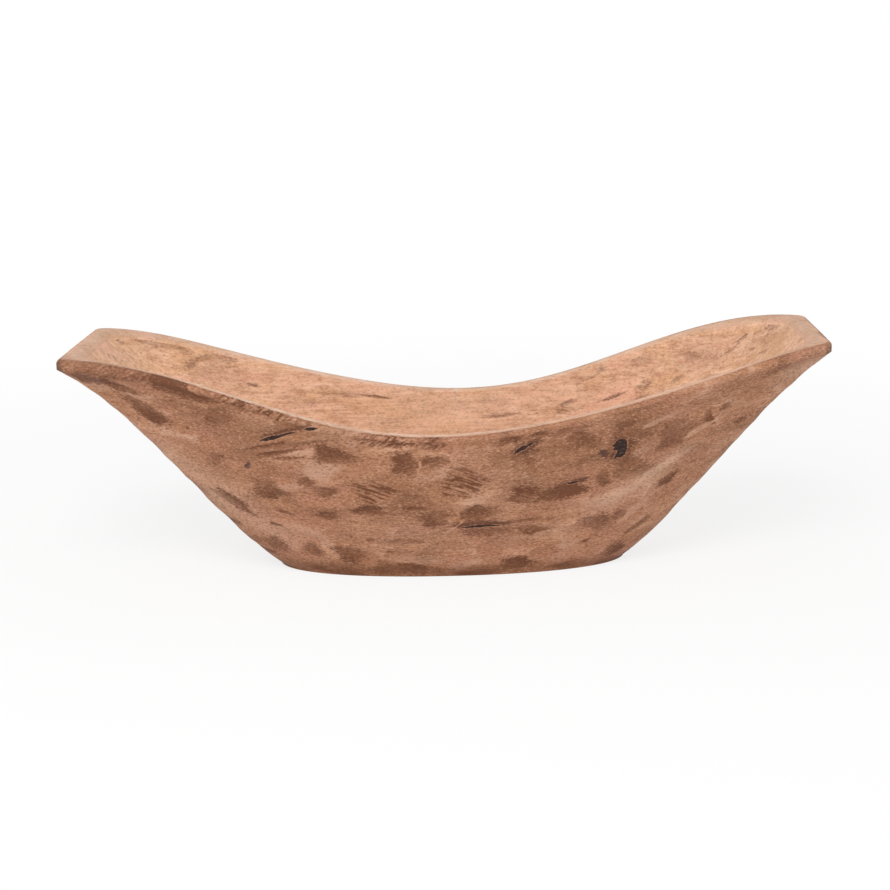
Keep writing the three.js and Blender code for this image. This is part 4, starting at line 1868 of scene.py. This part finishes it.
@dataclass(frozen=True)
class CrackFill(Fill):
    """A filled crack, pointed at both ends.

    Attributes:
        length: from point to point.
        width: at its widest.
        bow: how far its middle rises.
        tail: how thick its right half is beside its left half, 0 to 1.
        left_draw: where its left half is drawn out, as a share of half its length.
        right_draw: where its right half is drawn out.
        draw: how far its sides are drawn out, in half widths, and how much less far with a full tail.
        ragged: how far its edges stray, as a share of its width.
        seed_step: what its length is multiplied by for its seed.
    """
    length: float
    width: float
    bow: float
    tail: float
    left_draw: float = -0.6
    right_draw: float = 0.2
    draw: tuple[float, float] = (2, 0.67)
    ragged: float = 0.14
    seed_step: int = 10

    def outline(self, grow: float) -> Array:
        """A long leaf shape with ragged edges.

        Args:
            grow: how far it is grown all round.

        Returns:
            Its points, anticlockwise from its left tip.
        """
        tip = self.length / 2 + grow
        half = (self.draw[0] - self.draw[1] * self.tail) * (self.width / 2 + grow)
        left, right = self.left_draw * tip, self.right_draw * tip
        lower = curve(((-tip, 0), (left, self.bow - half), (right, self.bow - half * self.tail), (tip, 0)))
        upper = curve(((tip, 0), (right, self.bow + half * self.tail), (left, self.bow + half), (-tip, 0)))
        hand = np.random.default_rng(int(self.length * self.seed_step))
        strays = hand.uniform(-self.ragged, self.ragged, 2 * len(lower)) * self.width
        strays[[0, len(lower)]] = 0
        return np.concatenate([lower, upper]) + np.stack([0 * strays, strays], -1)


@dataclass(frozen=True)
class KnotFill(Fill):
    """A filled knot, round on its right and torn on its left where sound wood comes in.

    Its outline goes anticlockwise from its lowest tail, in shares of half its width and half its height.
    """
    width: float
    height: float
    corners: tuple[tuple[float, float], ...] = (
        (-0.95, -1.15), (-0.5, -0.9), (-0.05, -0.98), (0.4, -0.75), (0.7, -0.3), (0.8, 0.15), (0.78, 0.6),
        (0.5, 0.93), (0.1, 0.97), (-0.35, 0.8), (-0.62, 0.52), (-1.0, 0.35), (-0.66, 0.16), (-0.98, -0.08),
        (-0.35, -0.22), (-0.5, -0.5),
    )

    def outline(self, grow: float) -> Array:
        """The torn round."""
        return np.array(self.corners) * (self.width / 2 + grow, self.height / 2 + grow)


FILLS = (
    KnotFill("knot_fill", 0.485, 0.755, 8, 14, 17),
    CrackFill("curved_crack_fill", 0.184, 0.895, 28, 19, 3.6, 1.4, 0.7),
    CrackFill("long_crack_fill", -0.49, 0.862, 16, 33, 3.2, 0.2, 0.15),
    CrackFill("rim_crack_fill", -0.38, 0.98, 8, 11, 2.8, 0.2, 1),
    CrackFill("lower_crack_fill", 0.083, 0.37, 3, 35, 2.2, 0.4, 0.9),
    CrackFill("short_crack_fill", 0.374, 0.588, 8, 11, 1.8, 0.2, 1),
)


class Shaping(Enum):
    """The ways that one piece shapes another."""
    CUT_OUT = "DIFFERENCE"
    TRIM_TO = "INTERSECT"


@dataclass
class Filling:
    """The pockets cut in the body and the filler sunk flush in them.

    Attributes:
        form: the bowl's sizes.
        finish: the filler.
        clearance: the gap all round a filler, in millimetres.
        filler_crease: the angle in degrees above which a filler's edge is sharp.
        body_crease: the same for the body.
    """
    form: BowlForm
    finish: FillerFinish
    clearance: float = 0.15
    filler_crease: float = 40
    body_crease: float = 50

    @staticmethod
    def shape(piece: bpy.types.Object, tool: bpy.types.Object, shaping: Shaping) -> None:
        """Cuts or trims a piece by another and keeps the result in its mesh.

        Args:
            piece: the piece that is changed.
            tool: the piece that cuts or trims it.
            shaping: which of the two it does.
        """
        modifier = piece.modifiers.new("cut", "BOOLEAN")
        modifier.operation = shaping.value
        modifier.object = tool
        modifier.solver = "MANIFOLD"
        bpy.context.view_layer.update()
        shaped = bpy.data.meshes.new_from_object(piece.evaluated_get(bpy.context.evaluated_depsgraph_get()))
        piece.modifiers.remove(modifier)
        piece.data = shaped

    def dress(self, mesh: bpy.types.Mesh, material: bpy.types.Material) -> None:
        """Gives a filler its finish.

        Args:
            mesh: the filler's mesh.
            material: the finish.
        """
        mesh.materials.clear()
        mesh.materials.append(material)
        mesh.shade_smooth()
        mesh.set_sharp_from_angle(angle=math.radians(self.filler_crease))

    def build(self, body: bpy.types.Object) -> dict[str, bpy.types.Object]:
        """Fills every fault of the body.

        Args:
            body: the bowl's body, which gets the pockets.

        Returns:
            The fillers by the names of their solids.
        """
        material = self.finish.material()
        fillers: dict[str, bpy.types.Object] = {}
        for fill in FILLS:
            filler = fill.prism(self.form, 0)
            self.shape(filler, body, Shaping.TRIM_TO)
            self.dress(filler.data, material)
            fillers[fill.node] = filler
        for fill in FILLS:
            pocket = fill.prism(self.form, self.clearance)
            self.shape(body, pocket, Shaping.CUT_OUT)
            bpy.data.objects.remove(pocket)
        body.data.set_sharp_from_angle(angle=math.radians(self.body_crease))
        return fillers


@dataclass(frozen=True)
class Lamp:
    """A square soft box, in metres and watts."""
    name: str
    place: tuple[float, float, float]
    size: float
    power: float

    def hang(self, target: Vector) -> None:
        """Hangs the lamp.

        Args:
            target: the place that it is turned to.
        """
        data = bpy.data.lights.new(self.name, "AREA")
        data.energy = self.power
        data.size = self.size
        lamp = bpy.data.objects.new(self.name, data)
        bpy.context.scene.collection.objects.link(lamp)
        lamp.location = self.place
        lamp.rotation_euler = (Vector(self.place) - target).to_track_quat("Z", "Y").to_euler()


LAMPS = (
    Lamp("key_light", (-0.35, -1.4, 1.6), 0.9, 23),
    Lamp("left_low_light", (-1.3, -0.7, 0.3), 0.6, 3),
    Lamp("right_low_light", (1.3, -0.7, 0.3), 0.6, 3),
)


@dataclass(frozen=True)
class Studio:
    """The plain floor, the soft light and the camera, in metres and degrees.

    Attributes:
        target: the place that the camera and the lamps are turned to.
        distance: from there to the camera.
        elevation: the camera's height as an angle.
        azimuth: the camera's place round the bowl, 0 in front of it.
        roll: how far the camera is tilted.
        lens: its focal length in millimetres.
        sensor: its sensor's width in millimetres.
        floor_half: half the floor's width.
        floor_colour: the floor's colour where it lights the bowl.
        glow_from: the distance from the bowl's middle at which the floor starts to show whiter.
        glow_to: the distance at which it shows white.
        glow_near: how white it shows beside the bowl, 0 to 1.
        sky: the strength of the even light.
    """
    target: tuple[float, float, float] = (-0.0056, 0.0, 0.0984)
    distance: float = 1.4
    elevation: float = 14.62
    azimuth: float = -2.21
    roll: float = -0.76
    lens: float = 67.42
    sensor: float = 36
    floor_half: float = 4.0
    floor_colour: Colour = (0.9, 0.9, 0.9)
    glow_from: float = 0.3
    glow_to: float = 1.1
    glow_near: float = 0.8
    sky: float = 0.56

    def camera(self) -> None:
        """Sets the camera at the photograph's viewing angle."""
        data = bpy.data.cameras.new("camera")
        data.lens = self.lens
        data.sensor_width = self.sensor
        eye = bpy.data.objects.new("camera", data)
        bpy.context.scene.collection.objects.link(eye)
        azimuth, elevation = math.radians(self.azimuth), math.radians(self.elevation)
        level = math.cos(elevation)
        back = Vector((math.sin(azimuth) * level, -math.cos(azimuth) * level, math.sin(elevation)))
        place = Matrix.Translation(Vector(self.target) + back * self.distance)
        turn = back.to_track_quat("Z", "Y").to_matrix().to_4x4()
        eye.matrix_world = place @ turn @ Matrix.Rotation(math.radians(self.roll), 4, "Z")
        bpy.context.scene.camera = eye

    @staticmethod
    def seen(tree: bpy.types.NodeTree) -> Socket:
        """Tells rays that show a background from rays that light the bowl.

        Args:
            tree: the node tree.

        Returns:
            1 for rays that show a background, 0 for the others.
        """
        path = tree.nodes.new("ShaderNodeLightPath")
        total = path.outputs["Is Camera Ray"]
        for name in ("Is Glossy Ray", "Is Transmission Ray"):
            node = tree.nodes.new("ShaderNodeMath")
            node.operation = "MAXIMUM"
            tree.links.new(total, node.inputs[0])
            tree.links.new(path.outputs[name], node.inputs[1])
            total = node.outputs["Value"]
        return total

    def glow_share(self, tree: bpy.types.NodeTree) -> Socket:
        """How white the floor shows, growing away from the bowl, and 0 for rays that light the bowl.

        Args:
            tree: the floor's node tree.

        Returns:
            The share, 0 to 1.
        """
        place = tree.nodes.new("ShaderNodeTexCoord")
        away = tree.nodes.new("ShaderNodeVectorMath")
        away.operation = "LENGTH"
        tree.links.new(place.outputs["Object"], away.inputs[0])
        fade = tree.nodes.new("ShaderNodeMapRange")
        fade.interpolation_type = "SMOOTHSTEP"
        fade.inputs["From Min"].default_value = self.glow_from
        fade.inputs["From Max"].default_value = self.glow_to
        fade.inputs["To Min"].default_value = self.glow_near
        fade.inputs["To Max"].default_value = 1
        tree.links.new(away.outputs["Value"], fade.inputs["Value"])
        share = tree.nodes.new("ShaderNodeMath")
        share.operation = "MULTIPLY"
        tree.links.new(self.seen(tree), share.inputs[0])
        tree.links.new(fade.outputs["Result"], share.inputs[1])
        return share.outputs["Value"]

    def floor(self) -> bpy.types.Object:
        """Lays the floor, which shows nearly white and keeps the bowl's shadow.

        Returns:
            The floor.
        """
        reach = self.floor_half
        corners = [(-reach, -reach, 0), (reach, -reach, 0), (reach, reach, 0), (-reach, reach, 0)]
        mesh = bpy.data.meshes.new("floor")
        mesh.from_pydata(corners, [], [(0, 1, 2, 3)])
        material = bpy.data.materials.new("studio_floor")
        material.use_nodes = True
        tree = material.node_tree
        tree.nodes.clear()
        matt = tree.nodes.new("ShaderNodeBsdfDiffuse")
        matt.inputs["Color"].default_value = (*self.floor_colour, 1)
        glow = tree.nodes.new("ShaderNodeEmission")
        blend = tree.nodes.new("ShaderNodeMixShader")
        tree.links.new(self.glow_share(tree), blend.inputs["Fac"])
        tree.links.new(matt.outputs["BSDF"], blend.inputs[1])
        tree.links.new(glow.outputs["Emission"], blend.inputs[2])
        output = tree.nodes.new("ShaderNodeOutputMaterial")
        tree.links.new(blend.outputs["Shader"], output.inputs["Surface"])
        mesh.materials.append(material)
        floor = bpy.data.objects.new("studio_floor", mesh)
        bpy.context.scene.collection.objects.link(floor)
        return floor

    def world(self) -> None:
        """Lights the scene evenly, before a white background."""
        world = bpy.data.worlds.new("studio")
        bpy.context.scene.world = world
        world.use_nodes = True
        tree = world.node_tree
        tree.nodes.clear()
        light = tree.nodes.new("ShaderNodeBackground")
        light.inputs["Color"].default_value = (1, 1, 1, 1)
        light.inputs["Strength"].default_value = self.sky
        shown = tree.nodes.new("ShaderNodeBackground")
        shown.inputs["Color"].default_value = (1, 1, 1, 1)
        blend = tree.nodes.new("ShaderNodeMixShader")
        tree.links.new(self.seen(tree), blend.inputs["Fac"])
        tree.links.new(light.outputs["Background"], blend.inputs[1])
        tree.links.new(shown.outputs["Background"], blend.inputs[2])
        output = tree.nodes.new("ShaderNodeOutputWorld")
        tree.links.new(blend.outputs["Shader"], output.inputs["Surface"])

    def build(self) -> None:
        """Sets up the studio."""
        self.camera()
        self.floor()
        self.world()
        for lamp in LAMPS:
            lamp.hang(Vector(self.target))


def settle(piece: bpy.types.Object, node: str) -> None:
    """Puts a piece in its solid's place.

    Args:
        piece: the piece.
        node: the name of its solid.
    """
    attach(piece, BODY)
    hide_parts(node)
    log.info("%s: %d faces", piece.name, len(piece.data.polygons))


def main() -> None:
    """Builds the bowl and its studio in order, and reports each piece."""
    logging.basicConfig(level=logging.INFO)
    bpy.context.scene.view_settings.view_transform = "Standard"
    Studio().build()
    form = BowlForm()
    body = BowlBody(form, WoodFinish(), GougeRows(), Drift()).build()
    fillers = Filling(form, FillerFinish()).build(body)
    settle(body, "bowl_body")
    for node, filler in fillers.items():
        settle(filler, node)


if __name__ == "__main__":
    main()
